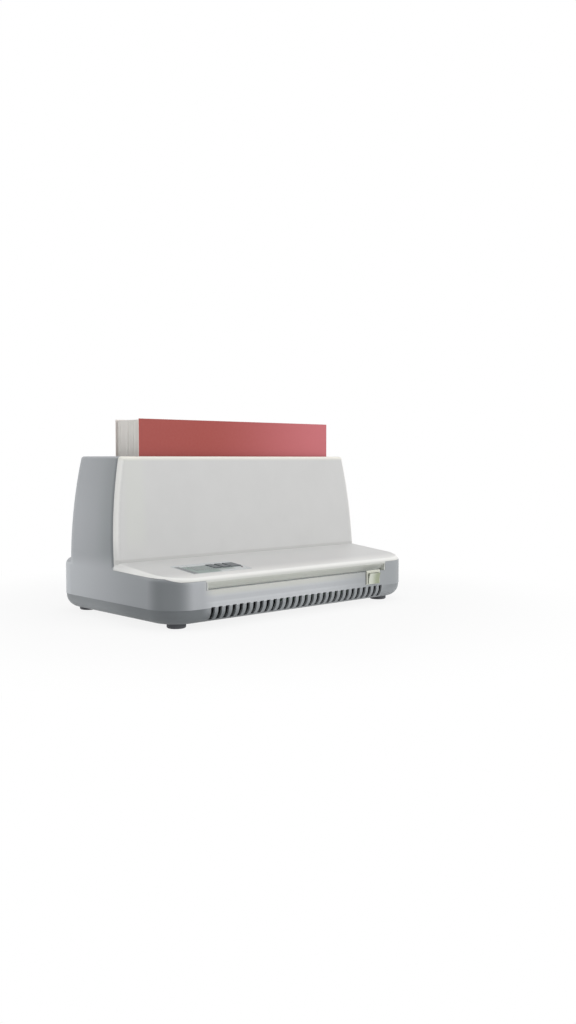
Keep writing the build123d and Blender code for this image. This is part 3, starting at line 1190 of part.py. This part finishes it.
export_step(sensor_lever.part, "parts/sensor_lever.step")
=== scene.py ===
# %% [markdown]
# # A thermal binding machine
# The machine melts the glue in a document's spine: the document stands in a deep slot on
# top of a heated bed. Its shape is in the frame already, one mesh to each real piece, so
# this script is about finishes, light and the one piece that needs finer detail.

# %% Load the frame
import json
import math
import random

import bmesh
import bpy
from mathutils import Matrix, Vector


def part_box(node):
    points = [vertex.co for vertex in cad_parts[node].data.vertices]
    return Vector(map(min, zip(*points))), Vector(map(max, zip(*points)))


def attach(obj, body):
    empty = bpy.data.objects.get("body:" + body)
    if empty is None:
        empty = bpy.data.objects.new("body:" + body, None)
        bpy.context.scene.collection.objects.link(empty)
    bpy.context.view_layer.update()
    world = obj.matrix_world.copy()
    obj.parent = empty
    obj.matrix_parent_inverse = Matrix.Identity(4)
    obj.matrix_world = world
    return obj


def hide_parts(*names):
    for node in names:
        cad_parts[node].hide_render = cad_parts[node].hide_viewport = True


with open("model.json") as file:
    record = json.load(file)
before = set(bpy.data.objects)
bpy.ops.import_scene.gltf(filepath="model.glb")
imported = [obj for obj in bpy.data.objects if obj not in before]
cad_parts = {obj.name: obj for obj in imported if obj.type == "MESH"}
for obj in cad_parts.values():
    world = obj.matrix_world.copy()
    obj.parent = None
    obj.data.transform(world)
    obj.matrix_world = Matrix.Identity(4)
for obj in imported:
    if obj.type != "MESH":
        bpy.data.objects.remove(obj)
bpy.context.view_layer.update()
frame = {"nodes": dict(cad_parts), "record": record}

MM = 0.001

# %% [markdown]
# ## Arithmetic on shader sockets
# Most finishes here are sums of masks: how far a point is to the left, how round the
# surface is there. Such sums could be wired node by node, but they read better as Python.
# The class below wraps one socket, and each operator on it adds one Math node.

# %% A socket that does sums
class Value:
    def __init__(self, nodes, socket):
        self.nodes, self.socket = nodes, socket

    def math(self, operation, *values, clamp=False):
        settings = {"operation": operation, "use_clamp": clamp}
        return self.nodes.make("ShaderNodeMath", settings, values)

    def __add__(self, other):
        return self.math("ADD", self, other)

    def __radd__(self, other):
        return self.math("ADD", other, self)

    def __sub__(self, other):
        return self.math("SUBTRACT", self, other)

    def __rsub__(self, other):
        return self.math("SUBTRACT", other, self)

    def __neg__(self):
        return 0.0 - self

    def __mul__(self, other):
        return self.math("MULTIPLY", self, other)

    def clamped(self):
        return self.math("ADD", self, 0.0, clamp=True)

    def larger(self, other):
        return self.math("MAXIMUM", self, other)

    def size(self):
        return self.math("ABSOLUTE", self)


print("sockets can be added, subtracted, multiplied and compared")

# %% [markdown]
# ## One way to make a node
# A node is made from its type, its settings and what goes into its sockets, which are
# named or counted. The same method serves the finishes, the floor and the background.

# %% Nodes
class Nodes:
    def __init__(self, tree):
        self.tree = tree

    def fill(self, node, sockets):
        for key, value in sockets.items():
            socket = node.inputs[key]
            if isinstance(value, Value):
                self.tree.links.new(value.socket, socket)
            elif socket.type == "RGBA":
                socket.default_value = (*value[:3], 1.0)
            else:
                socket.default_value = value

    def make(self, kind, settings=None, sockets=(), output=0):
        node = self.tree.nodes.new(kind)
        for key, value in (settings or {}).items():
            setattr(node, key, value)
        self.fill(node, sockets if isinstance(sockets, dict) else dict(enumerate(sockets)))
        return Value(self, node.outputs[output])

    def seen_directly(self):
        """1 for rays from the camera, a mirror or a glass, 0 for light that spreads."""
        rays = ("Is Camera Ray", "Is Glossy Ray", "Is Transmission Ray")
        camera, mirror, glass = [self.make("ShaderNodeLightPath", output=ray) for ray in rays]
        return (camera + mirror + glass).clamped()


print("a node takes its type, its settings and its sockets")

# %% [markdown]
# ## Colours as they look
# Colours are easiest to judge on a screen, from 0 to 255, but the renderer adds up light.
# One formula turns the first into the second.

# %% Screen colours made linear
def screen(red, green, blue):
    """A colour written as it looks on a screen, made linear."""
    parts = [part / 255 for part in (red, green, blue)]
    return tuple(((part + 0.055) / 1.055) ** 2.4 if part > 0.04 else part / 12.92 for part in parts)


print("a mid grey of 128 is", round(screen(128, 128, 128)[0], 3), "in linear light")

# %% [markdown]
# ## One builder for the finishes
# Every finish is a Principled shader. Numbers that are the same all over the surface are
# set on the shader's own sockets, and only what changes from place to place is linked.
# Places are in millimetres in the machine's own frame, so a zone is written as it would
# be measured on the machine. `paint` then lays one colour after another over the base,
# each as far as its mask says.

# %% A builder for finishes
FINISHES = {}


class Finish(Nodes):
    def __init__(self, name, **sockets):
        self.material = bpy.data.materials.new(name)
        self.material.use_nodes = True
        super().__init__(self.material.node_tree)
        self.shader = self.tree.nodes["Principled BSDF"]
        self.surface(**sockets)
        FINISHES[name] = self

    def surface(self, **sockets):
        """Sets or links the shader's own sockets."""
        self.fill(self.shader, {key.replace("_", " "): value for key, value in sockets.items()})

    def paint(self, base, *layers):
        """Lays each layer, a mask and a screen colour, over what is there."""
        for mask, colour in layers:
            base = self.mix(mask, base, screen(*colour))
        self.surface(Base_Color=base)

    def place(self):
        """Object coordinates: metres in the frame, whatever the pose."""
        return self.make("ShaderNodeTexCoord", output="Object")

    def axes(self):
        """The x, y and z of a place, in millimetres."""
        scale = {"operation": "SCALE"}
        place = self.make("ShaderNodeVectorMath", scale, {0: self.place(), "Scale": 1 / MM})
        return self.parts(place)

    def parts(self, vector):
        return [self.make("ShaderNodeSeparateXYZ", {}, [vector], output=axis) for axis in "XYZ"]

    def normal(self):
        return self.make("ShaderNodeNewGeometry", output="Normal")

    def facing(self, *direction):
        """1 where the surface faces that way, 0 side on, less behind."""
        sockets = [self.normal(), tuple(Vector(direction).normalized())]
        return self.make("ShaderNodeVectorMath", {"operation": "DOT_PRODUCT"}, sockets, "Value")

    def noise(self, size, detail=2.0, stretch=(1.0, 1.0, 1.0)):
        """Soft noise from 0 to 1 with blobs about `size` metres across."""
        place = self.make("ShaderNodeMapping", {}, {"Vector": self.place(), "Scale": stretch})
        sockets = {"Vector": place, "Scale": 1 / size, "Detail": detail}
        return self.make("ShaderNodeTexNoise", {}, sockets)

    def step(self, value, start, end):
        """0 below start, 1 above end, and smooth between them."""
        settings = {"interpolation_type": "SMOOTHSTEP"}
        return self.make("ShaderNodeMapRange", settings, [value, start, end])

    def band(self, value, low, high, soft):
        """1 between low and high, with soft sides."""
        rise = self.step(value, low - soft / 2, low + soft / 2)
        fall = self.step(value, high - soft / 2, high + soft / 2)
        return rise * (1.0 - fall)

    def mix(self, factor, colour_a, colour_b):
        sockets = {0: factor, 6: colour_a, 7: colour_b}
        return self.make("ShaderNodeMix", {"data_type": "RGBA"}, sockets, 2)

    def bump(self, height, strength, distance):
        sockets = {"Strength": strength, "Distance": distance, "Height": height}
        self.surface(Normal=self.make("ShaderNodeBump", {}, sockets))


print("a finish has", len([name for name in vars(Finish) if name[0] != "_"]), "tools of its own")

# %% [markdown]
# ## Moulded plastic
# The casing is textured ABS. A mould's fine spark texture shows as a grain of a third of
# a millimetre and as small changes of gloss, and large mouldings are never of one even
# tone. A flat colour would look like clay, so noise of two sizes goes into the bump,
# the roughness and the colour.

# %% The plastic recipe
BLOB_SIZE = 0.035
GRAIN_GLOSS, BLOB_GLOSS = 0.14, 0.10
GRAIN_STRENGTH = 0.35


def plastic(name, colour, rough=0.45, grain=0.0004, depth=0.00002, mottle=0.05, **sockets):
    finish = Finish(name, **sockets)
    fine = finish.noise(grain, detail=3.0)
    broad = finish.noise(BLOB_SIZE, detail=3.0)
    light, dark = [tuple(part * share for part in colour) for share in (1 + mottle, 1 - mottle)]
    finish.base = finish.mix(finish.step(broad, 0.3, 0.7), dark, light)
    gloss = rough + (fine - 0.5) * GRAIN_GLOSS + (broad - 0.5) * BLOB_GLOSS
    finish.surface(Base_Color=finish.base, Roughness=gloss)
    finish.bump(fine, GRAIN_STRENGTH, depth)
    return finish


print("plastic has blobs of", BLOB_SIZE / MM, "mm under its grain")

# %% [markdown]
# ## The white front cover
# One moulding makes the tower's front and the shelf. Its broad faces are a pale grey. Its rounded
# edges are painted nearly white as a painted highlight, most on the tower above the shelf and
# towards the front. The edges could be picked by hand, but the direction of the surface finds them:
# what faces neither the front nor the shelf's way is edge. The shelf's front edge and the tower's
# top rim get painted highlights too, and a soft painted reflection lies on the tower's face near
# its left edge. The crease between tower and shelf gets a painted shade line. Towards the finger
# groove, the nose and the groove are painted an olive grey as painted shade, and the groove's ends
# are painted grey as shade. The depth of the groove is painted pale, because little light gets
# there.

# %% White casing
NOSE_TOP_Z, NOSE_LOW_Z, GROOVE_DEEP_Z = 56.0, 49.5, 42.0
GROOVE_HALF = 143.0
CREASE_Y, CREASE_Z = (-17.5, -13.0), (64.0, 69.0)
TOWER_LEFT, TOWER_Z = (-176.0, -150.0), (66.0, 100.0)
SHELF_EDGE = (85.0, 116.0)
TOP_RIM_HIGHLIGHT_Z = (178.0, 183.0)
EDGE_HIGHLIGHT_Z, EDGE_HIGHLIGHT_Y = (68.0, 100.0), (20.0, 60.0)
ROUNDED = (0.86, 0.999)

white_casing = plastic("white_casing", screen(214, 214, 213), rough=0.42, mottle=0.012,
                       Specular_IOR_Level=0.45)
x, y, z = white_casing.axes()
front = white_casing.facing(0.0, -1.0, 0.075)
upward = white_casing.facing(0.0, -0.1, 0.995)
edge = 1.0 - white_casing.step(front.larger(upward), *ROUNDED)
highlight_reach = white_casing.step(z, *EDGE_HIGHLIGHT_Z).larger(white_casing.step(-y, *EDGE_HIGHLIGHT_Y))
edge_highlight = highlight_reach * 0.5 + 0.45
shelf_front_highlight = white_casing.step(-y, *SHELF_EDGE) * white_casing.step(upward, 0.9, 0.99)
reflection = white_casing.band(x, *TOWER_LEFT, 14.0) * white_casing.step(z, *TOWER_Z)
crease_shade = white_casing.band(y, *CREASE_Y, 3.0) * white_casing.band(z, *CREASE_Z, 2.0)
under = 1.0 - white_casing.step(z, NOSE_LOW_Z, NOSE_TOP_Z)
groove = 1.0 - white_casing.step(z, NOSE_LOW_Z - 0.5, NOSE_LOW_Z + 1.5)
deep = 1.0 - white_casing.step(z, GROOVE_DEEP_Z, GROOVE_DEEP_Z + 5.0)
groove_end_shade = white_casing.step(x.size(), GROOVE_HALF - 2.0, GROOVE_HALF - 1.0)
white_casing.paint(
    white_casing.base,
    (reflection * 0.5, (217, 219, 213)),
    # painted highlight: the rounded edges nearly white, most high on the tower and towards the
    # front
    (edge * edge_highlight, (254, 254, 251)),
    # painted highlight along the shelf's front edge
    (shelf_front_highlight * 0.7, (245, 245, 242)),
    # painted highlight along the tower's top rim
    (white_casing.step(z, *TOP_RIM_HIGHLIGHT_Z) * 0.6, (248, 246, 232)),
    # painted shade in the crease between tower and shelf
    (crease_shade * 0.35, (176, 176, 172)),
    # painted shade: the nose's underside olive grey
    (under * 0.8, (203, 205, 199)),
    # painted shade: the groove olive grey
    (groove * 0.95, (214, 216, 209)),
    (deep * groove, (246, 248, 240)),
    # painted shade: the groove's ends grey
    (groove * groove_end_shade, (164, 167, 170)),
)
print("the nose is olive from z =", NOSE_TOP_Z, "mm down to", NOSE_LOW_Z, "mm")

# %% [markdown]
# ## The grey housing
# The sides, the back and the low front wall are one grey moulding, and its tones of light and shade
# are painted on. Its front wall under the groove is painted lighter and a little bluer than its
# corners, as painted light. It has a painted shadow band, a thin painted highlight above the air
# slots, and painted shade towards the switch. The lip under the groove and the lip's top are
# painted pale as a highlight. The corner that faces the visitor is painted in the deepest tone, as
# shade. The left side gets painted shade towards the front, and on the tower next to the white
# cover and at the top. It gets painted light towards the rear and low down at the rear. One grey
# with lamps alone didn't show these tones, so each is a mask in the housing's own place.

# %% Grey casing
FRONT_WALL = (112.0, 113.0)
LIP_Z, LIP_TOP_Z = (33.0, 38.5), (38.0, 44.0)
SHADOW_Z, RIDGE_Z = (28.6, 33.5), (26.6, 28.6)
TO_SWITCH_X, TO_SWITCH_Y = (10.0, 140.0), (60.0, 113.0)
REAR_Y, LOW_Z = (-90.0, 150.0), (55.0, 75.0)
TOWER_SIDE_Z, BY_TOP_Z = (60.0, 80.0), (105.0, 175.0)
BY_COVER_Y, BY_REAR_Y = (-15.0, 32.0), (5.0, 80.0)

grey_casing = plastic("grey_casing", screen(178, 181, 185), rough=0.5, mottle=0.015)
x, y, z = grey_casing.axes()
front_wall = grey_casing.step(-y, *FRONT_WALL)
corners = grey_casing.step(x.size(), GROOVE_HALF - 14.0, GROOVE_HALF + 6.0)
between = front_wall * (1.0 - corners)
shade_to_switch = grey_casing.step(x, *TO_SWITCH_X) * grey_casing.step(-y, *TO_SWITCH_Y)
lip = grey_casing.step(z, *LIP_Z) * between
flat = grey_casing.step(grey_casing.facing(0.0, 0.0, 1.0), 0.7, 0.95)
lip_top_light = flat * grey_casing.band(z, *LIP_TOP_Z, 1.0)
shadow = grey_casing.band(z, *SHADOW_Z, 2.5) * between
ridge_highlight = grey_casing.band(z, *RIDGE_Z, 0.8) * between
corner_shade = grey_casing.step(grey_casing.facing(-1.0, -0.82, 0.0), 0.72, 0.985)
side = grey_casing.step(-grey_casing.facing(1.0, 0.0, 0.0), 0.8, 0.95)
rear = grey_casing.step(y, *REAR_Y)
light_low_rear = rear * (1.0 - grey_casing.step(z, *LOW_Z))
tower = side * grey_casing.step(z, *TOWER_SIDE_Z)
shade_by_cover = tower * (1.0 - grey_casing.step(y, *BY_COVER_Y))
light_by_rear = tower * grey_casing.step(y, *BY_REAR_Y)
shade_by_top = tower * grey_casing.step(z, *BY_TOP_Z)
grey_casing.paint(
    grey_casing.base,
    # painted light: the front wall between the corners lighter
    (between, (200, 203, 206)),
    # painted highlight on the lip under the groove
    (lip * 0.8, (208, 209, 202)),
    # painted light on the lip's top
    (lip_top_light * front_wall, (240, 241, 236)),
    (shadow * 0.4, (180, 183, 187)),
    # painted highlight: a thin ridge above the air slots
    (ridge_highlight * 0.3, (214, 217, 221)),
    # painted shade towards the switch
    (shade_to_switch * 0.9, (158, 162, 165)),
    # painted shade: the left side darker towards the front
    (side * (1.0 - rear) * 0.6, (132, 137, 141)),
    # painted shade on the tower's side next to the white cover
    (shade_by_cover * 0.42, (112, 122, 122)),
    # painted light on the tower's side towards the rear
    (light_by_rear * 0.35, (196, 200, 204)),
    # painted shade on the tower's side near the top
    (shade_by_top * 0.2, (108, 113, 116)),
    # painted light low on the side at the rear
    (side * light_low_rear * 0.85, (212, 216, 220)),
    # painted shade on the corner that faces the visitor
    (corner_shade * 0.85, (118, 123, 126)),
)
print("the lip is palest from z =", LIP_Z[1], "mm up")

# %% [markdown]
# ## The pan, the feet and the inside
# The pan under the machine is a slightly darker plastic, with painted shade at the corner that
# faces the visitor and along its upper edge. The ribs between its air slots are paler. Rubber feet
# are matt and a bit dusty. All other mouldings use the same recipe with one colour.

# %% Plastic and rubber
SEAM_Z = (12.0, 20.0)
NEAR_CORNER = (150.0, 262.0)
RIBS_Y, RIBS_X = (100.0, 104.0), (136.0, 150.0)

dark_pan = plastic("dark_pan", screen(158, 162, 165), rough=0.55, mottle=0.02)
x, y, z = dark_pan.axes()
near = dark_pan.step(-x - y, *NEAR_CORNER)
seam = dark_pan.step(z, *SEAM_Z)
ribs = dark_pan.step(-y, *RIBS_Y) * (1.0 - dark_pan.step(x.size(), *RIBS_X)) * seam
dark_pan.paint(
    dark_pan.base,
    # painted shade along the pan's upper edge
    (seam * 0.35, (120, 124, 127)),
    # painted shade on the pan's corner that faces the visitor
    (near * 0.85, (105, 110, 113)),
    (ribs * 0.7, (164, 168, 171)),
)

plastic("foot_rubber", screen(106, 108, 112), rough=0.75, mottle=0.08, grain=0.0007)
plastic("key_plastic", screen(98, 103, 107), rough=0.4, mottle=0.02)
plastic("black_plastic", screen(44, 45, 47), rough=0.42, mottle=0.04)
plastic("ivory_plastic", screen(214, 210, 192), rough=0.4, mottle=0.02)
plastic("relay_blue", screen(60, 96, 150), rough=0.35, mottle=0.02)
plastic("insulation", screen(226, 220, 206), rough=0.9, grain=0.0012, depth=0.0002)
plastic("element_film", screen(176, 112, 40), rough=0.3, Coat_Weight=0.3)
print(len(FINISHES), "finishes so far")

# %% [markdown]
# ## Brushed metal
# Steel and aluminium inside are brushed along their length. Brushing could be an
# anisotropic gloss, but seen from near it is fine scratches, and noise that is stretched
# hard one way shows both the scratches and their gloss.

# %% Metals
SCRATCH_SIZE, STAIN_SIZE = 0.0008, 0.02
STAINED = 0.86


def brushed(name, colour, rough=0.35, along=(0.04, 1.0, 1.0), metallic=1.0):
    finish = Finish(name, Metallic=metallic)
    streak = finish.noise(SCRATCH_SIZE, detail=3.0, stretch=along)
    stain = finish.noise(STAIN_SIZE)
    tone = finish.mix(stain, tuple(STAINED * part for part in colour), colour)
    finish.surface(Base_Color=tone, Roughness=rough + (streak - 0.5) * 0.3)
    finish.bump(streak, 0.25, 0.00003)


brushed("liner_steel", screen(180, 181, 182), 0.5, (1.0, 1.0, 0.04), 0.6)
brushed("zinc_steel", screen(196, 197, 198), 0.32)
brushed("bed_aluminium", screen(206, 208, 210), 0.3)
brushed("core_iron", screen(110, 108, 106), 0.55, (1.0, 0.03, 1.0), 0.7)
print(len(FINISHES), "finishes with the metals")

# %% [markdown]
# ## The control panel
# The panel is a satin plastic film with a faint blue tint. Left of the display lies a
# dark strip, the film round the display is teal, and teal shows again between the keys.
# On the real film the zones are printed, so they are rectangles in the panel's own place,
# with soft edges half a millimetre wide, and not pieces of their own.

# %% Panel overlay
PATCH_SOFT = 0.5
panel_overlay = plastic("panel_overlay", screen(208, 212, 214), rough=0.3, mottle=0.01,
                        depth=0.000006, Coat_Weight=0.2)
x, y, _ = panel_overlay.axes()


def patch(low_x, high_x, low_y, high_y):
    sides = panel_overlay.band(x, low_x, high_x, PATCH_SOFT)
    return sides * panel_overlay.band(y, low_y, high_y, PATCH_SOFT)


dark_strip = patch(-146.0, -139.0, -98.5, -61.0)
display_field = patch(-139.0, -106.5, -98.5, -64.5)
between_keys = patch(-105.5, -65.5, -84.5, -64.0)
below_keys = patch(-107.0, -82.0, -92.0, -84.0)
panel_overlay.paint(
    panel_overlay.base,
    (dark_strip * 0.95, (96, 102, 105)),
    (display_field * 0.95, (124, 144, 139)),
    (between_keys * 0.9, (118, 134, 131)),
    (below_keys * 0.8, (136, 150, 146)),
)

display_lens = Finish("display_lens", Roughness=0.15, Coat_Weight=0.3, Coat_Roughness=0.08)
rows = display_lens.noise(0.0006, stretch=(0.1, 1.0, 1.0))
display_lens.paint(screen(96, 115, 112), (rows * 0.25, (112, 129, 125)))
plastic("lamp_lens", screen(96, 74, 76), rough=0.15, depth=0.0, Coat_Weight=0.5)
print("the panel has four printed zones, with edges of", PATCH_SOFT, "mm")

# %% [markdown]
# ## The power switch
# The rocker is a pale, slightly translucent green-white plastic over a dark inside. Real
# translucence would cost much and show little at this size, so it is left out. The rocker's right
# part is painted olive as painted shade. Faces turned left, on the rocker and on its frame, are
# painted dark as painted shade.

# %% Switch
SWITCH_LEFT, SWITCH_RIGHT = 112.0, 124.0

switch_frame = plastic("switch_frame", screen(222, 223, 211), rough=0.35, mottle=0.015)
left_side_shade = switch_frame.step(-switch_frame.facing(1.0, 0.0, 0.0), 0.5, 0.9)
# painted shade: the frame's faces turned left dark
switch_frame.paint(switch_frame.base, (left_side_shade * 0.8, (84, 88, 82)))

rocker_plastic = plastic("rocker_plastic", screen(190, 202, 184), rough=0.25, mottle=0.02,
                         Coat_Weight=0.3)
x = rocker_plastic.axes()[0]
olive = rocker_plastic.step(x, SWITCH_LEFT, SWITCH_RIGHT)
left_side_shade = rocker_plastic.step(-rocker_plastic.facing(1.0, 0.0, 0.0), 0.5, 0.9)
# painted shade: the rocker's right part olive, its faces turned left dark
rocker_plastic.paint(screen(214, 218, 204), (olive, (160, 168, 140)), (left_side_shade * 0.8, (92, 97, 88)))
print("the switch is pale from x =", SWITCH_LEFT, "mm and olive at", SWITCH_RIGHT, "mm")

# %% [markdown]
# ## The boards and the glass fuse
# The circuit boards have a green solder mask with a faint weave of glass cloth under it.
# The weave is two waves that cross, light only where both are high. The fuse is clear, and
# see-through by its alpha, which costs less than refraction.

# %% Boards and fuse
board_green = Finish("board_green", Roughness=0.3, Coat_Weight=0.4)
weft, warp = [
    board_green.make("ShaderNodeTexWave", {"bands_direction": way},
                     {"Vector": board_green.place(), "Scale": 300.0, "Distortion": 1.0}, "Fac")
    for way in "XY"
]
board_green.paint(screen(22, 92, 50), (weft * warp, (44, 120, 70)))

Finish("fuse_glass", Base_Color=screen(226, 236, 236), Roughness=0.05, Alpha=0.4)
print(len(FINISHES), "finishes with the boards and the fuse")

# %% [markdown]
# ## The document's cover
# The cover is a smooth red card, a little glossy, with a fine fibre in it. Its red is painted
# pinker to the right, as a painted reflection of the white room. Its cut edges and its inner faces
# show the cream core. They are found by the direction that the surface faces.

# %% Card
PAGES_REAR_Y = 52.0

cover_red = Finish("cover_red", Roughness=0.45, Specular_IOR_Level=0.35)
x, y, _ = cover_red.axes()
fibre = cover_red.noise(0.0015, detail=4.0, stretch=(0.5, 1.0, 0.5))
normal_x, normal_y, normal_z = cover_red.parts(cover_red.normal())
cut = cover_red.step(normal_x.size().larger(normal_z.size()), 0.6, 0.8)
behind_pages = cover_red.step(y, PAGES_REAR_Y - 0.5, PAGES_REAR_Y)
inner = behind_pages * cover_red.step(-normal_y, 0.6, 0.8)
cover_red.paint(
    screen(168, 69, 61),
    # painted reflection: the red pinker to the right
    (cover_red.step(x, -60.0, 170.0), (207, 113, 119)),
    (fibre * 0.10, (206, 140, 138)),
    (cut.larger(inner), (248, 242, 237)),
)
cover_red.bump(fibre, 0.2, 0.00003)
print("the cover's inner face starts at y =", PAGES_REAR_Y, "mm")

# %% [markdown]
# ## Paper
# The pages show only as their edges: thin lines one paper thick, pale and a little uneven.
# The lines are noise in one dimension, across the block, so they run straight along it.

# %% Paper
LINES_PER_MM = 9.0

page_paper = Finish("page_paper", Roughness=0.85)
y = page_paper.axes()[1]
across = {"W": y * LINES_PER_MM, "Scale": 1.0, "Detail": 2.0}
sheets = page_paper.make("ShaderNodeTexNoise", {"noise_dimensions": "1D"}, across)
drift = page_paper.noise(0.02, stretch=(1.0, 1.0, 0.15))
page_paper.paint(
    screen(240, 237, 232),
    (page_paper.step(sheets, 0.35, 0.65), (246, 243, 238)),
    (drift * 0.2, (234, 230, 224)),
)
page_paper.bump(sheets, 0.3, 0.0002)
print("paper edges have about", LINES_PER_MM, "lines to the millimetre")

# %% [markdown]
# ## The page block
# A pile of paper is never cut as one smooth block. Single sheets would be hundreds of
# slabs that no view shows one by one, so the pages are made again as bundles of a few
# sheets. Each is up to a third of a millimetre shorter than the block, and all stay
# inside the box of the solid that they stand for.

# %% Bundles of sheets
BUNDLES = 60
BUNDLE_GAP = 0.03 * MM
UNEVEN = 0.35 * MM

paper_low, paper_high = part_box("document_pages")
dice = random.Random(11)
shares = [dice.uniform(0.6, 1.4) for _ in range(BUNDLES)]
depth = (paper_high[1] - paper_low[1]) / sum(shares)
shape = bmesh.new()
front_y = paper_low[1]
for share in shares:
    low = Vector((paper_low[0] + dice.uniform(0, UNEVEN), front_y, paper_low[2]))
    front_y += share * depth
    high = Vector((paper_high[0] - dice.uniform(0, UNEVEN), front_y - BUNDLE_GAP,
                   paper_high[2] - dice.uniform(0, UNEVEN)))
    corners = bmesh.ops.create_cube(shape, size=1.0)["verts"]
    bmesh.ops.scale(shape, vec=high - low, verts=corners)
    bmesh.ops.translate(shape, vec=(low + high) / 2, verts=corners)


def as_object(name, shape, material):
    """An object at the origin with the bmesh's shape, which is then freed."""
    mesh = bpy.data.meshes.new(name)
    shape.to_mesh(mesh)
    shape.free()
    mesh.materials.append(material)
    made = bpy.data.objects.new(name, mesh)
    bpy.context.scene.collection.objects.link(made)
    return made


page_bundles = as_object("page_bundles", shape, page_paper.material)
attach(page_bundles, "document")
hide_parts("document_pages")
print("the page block has", BUNDLES, "bundles of sheets")

# %% [markdown]
# ## Every piece gets its finish
# The record says which slot each piece takes its finish from, so the finish is found by
# the slot's name, and a new piece in the frame needs no new line here.

# %% Dress the pieces
for row in frame["record"]["subparts"]:
    piece = frame["nodes"][row["node"]]
    piece.data.materials.clear()
    piece.data.materials.append(FINISHES[row["material_slot"]].material)

# %% [markdown]
# ## Floor
# The floor runs into the white background with no horizon: near the machine it is lit
# like any white board, and further out its own light takes over. Only rays from the
# camera, and mirror or glass rays, see that light, so it doesn't shine on the machine.

# %% Floor
FLOOR_SIZE = 6.0
NEAR, FAR = 0.20, 0.50
NEAR_GLOW = 0.86
WHITE = (1.0, 1.0, 1.0)

board = Finish("floor_white", Base_Color=(0.9, 0.9, 0.9), Roughness=1.0, Specular_IOR_Level=0.0)
distance = board.make("ShaderNodeVectorMath", {"operation": "LENGTH"}, [board.place()], "Value")
glow_share = board.step(distance, NEAR, FAR) * (1 - NEAR_GLOW) + NEAR_GLOW
glow = board.make("ShaderNodeEmission", {}, {"Color": WHITE, "Strength": 1.0})
painted = Value(board, board.shader.outputs[0])
sheet = board.make("ShaderNodeMixShader", {}, [board.seen_directly() * glow_share, painted, glow])
board.fill(board.tree.nodes["Material Output"], {"Surface": sheet})

shape = bmesh.new()
bmesh.ops.create_grid(shape, x_segments=1, y_segments=1, size=FLOOR_SIZE)
floor = as_object("floor", shape, board.material)
print("the floor fades to white between", NEAR, "and", FAR, "metres")

# %% [markdown]
# ## Background
# The room is plain white to the eye. As a light it is dimmer, because a full white room
# would fill every shadow and flatten the mouldings.

# %% World
AMBIENT = 0.34

world = bpy.data.worlds.new("studio")
world.use_nodes = True
bpy.context.scene.world = world
studio = Nodes(world.node_tree)
level = studio.seen_directly() * (1 - AMBIENT) + AMBIENT
studio.fill(world.node_tree.nodes["Background"], {"Color": WHITE, "Strength": level})
print("the room gives", AMBIENT, "of the light that it shows")

# %% [markdown]
# ## Studio light
# Three soft boxes: a broad one above, one in front to the right, and one behind to the
# left. Nothing shines from beside the camera, so the corner that faces it stays dark.

# %% Lamps
def soft_box(name, place, target, width, height, power):
    lamp = bpy.data.lights.new(name, "AREA")
    lamp.shape, lamp.size, lamp.size_y, lamp.energy = "RECTANGLE", width, height, power
    box = bpy.data.objects.new(name, lamp)
    box.location = place
    box.rotation_euler = (Vector(target) - Vector(place)).to_track_quat("-Z", "Y").to_euler()
    bpy.context.scene.collection.objects.link(box)
    print(name, "gives", power, "watts from", width, "by", height, "metres")


soft_box("lamp_above", (0.1, -0.1, 1.6), (0.0, 0.0, 0.1), 1.6, 1.2, 8.0)
soft_box("lamp_front_right", (0.55, -1.6, 0.7), (0.0, 0.0, 0.08), 1.0, 0.9, 11.5)
soft_box("lamp_left_rear", (-1.2, 0.85, 0.55), (-0.1, 0.05, 0.08), 0.8, 0.7, 5.6)

# %% [markdown]
# ## Camera
# The photograph was taken from the left, a little above the machine's middle. The camera's
# place, turn and lens were fitted to corners of the casing, with the document's length as
# the scale, so they are as good as that one length.

# %% Camera
SENSOR, LENS = 36.0, 34.03
PLACE = (-0.7737, -0.9246, 0.1816)
TILT, TURN = 86.83, -42.8

camera_data = bpy.data.cameras.new("camera")
camera_data.sensor_fit = "VERTICAL"
camera_data.sensor_height = camera_data.sensor_width = SENSOR
camera_data.lens = LENS
camera = bpy.data.objects.new("camera", camera_data)
camera.location = PLACE
camera.rotation_euler = (math.radians(TILT), 0.0, math.radians(TURN))
bpy.context.scene.collection.objects.link(camera)
bpy.context.scene.camera = camera
print("the camera stands", round(camera.location.length, 2), "metres away")

# %% [markdown]
# ## Finish
# The colours are shown as they are, with no film curve.

# %% The last line
bpy.context.scene.view_settings.view_transform = "Standard"
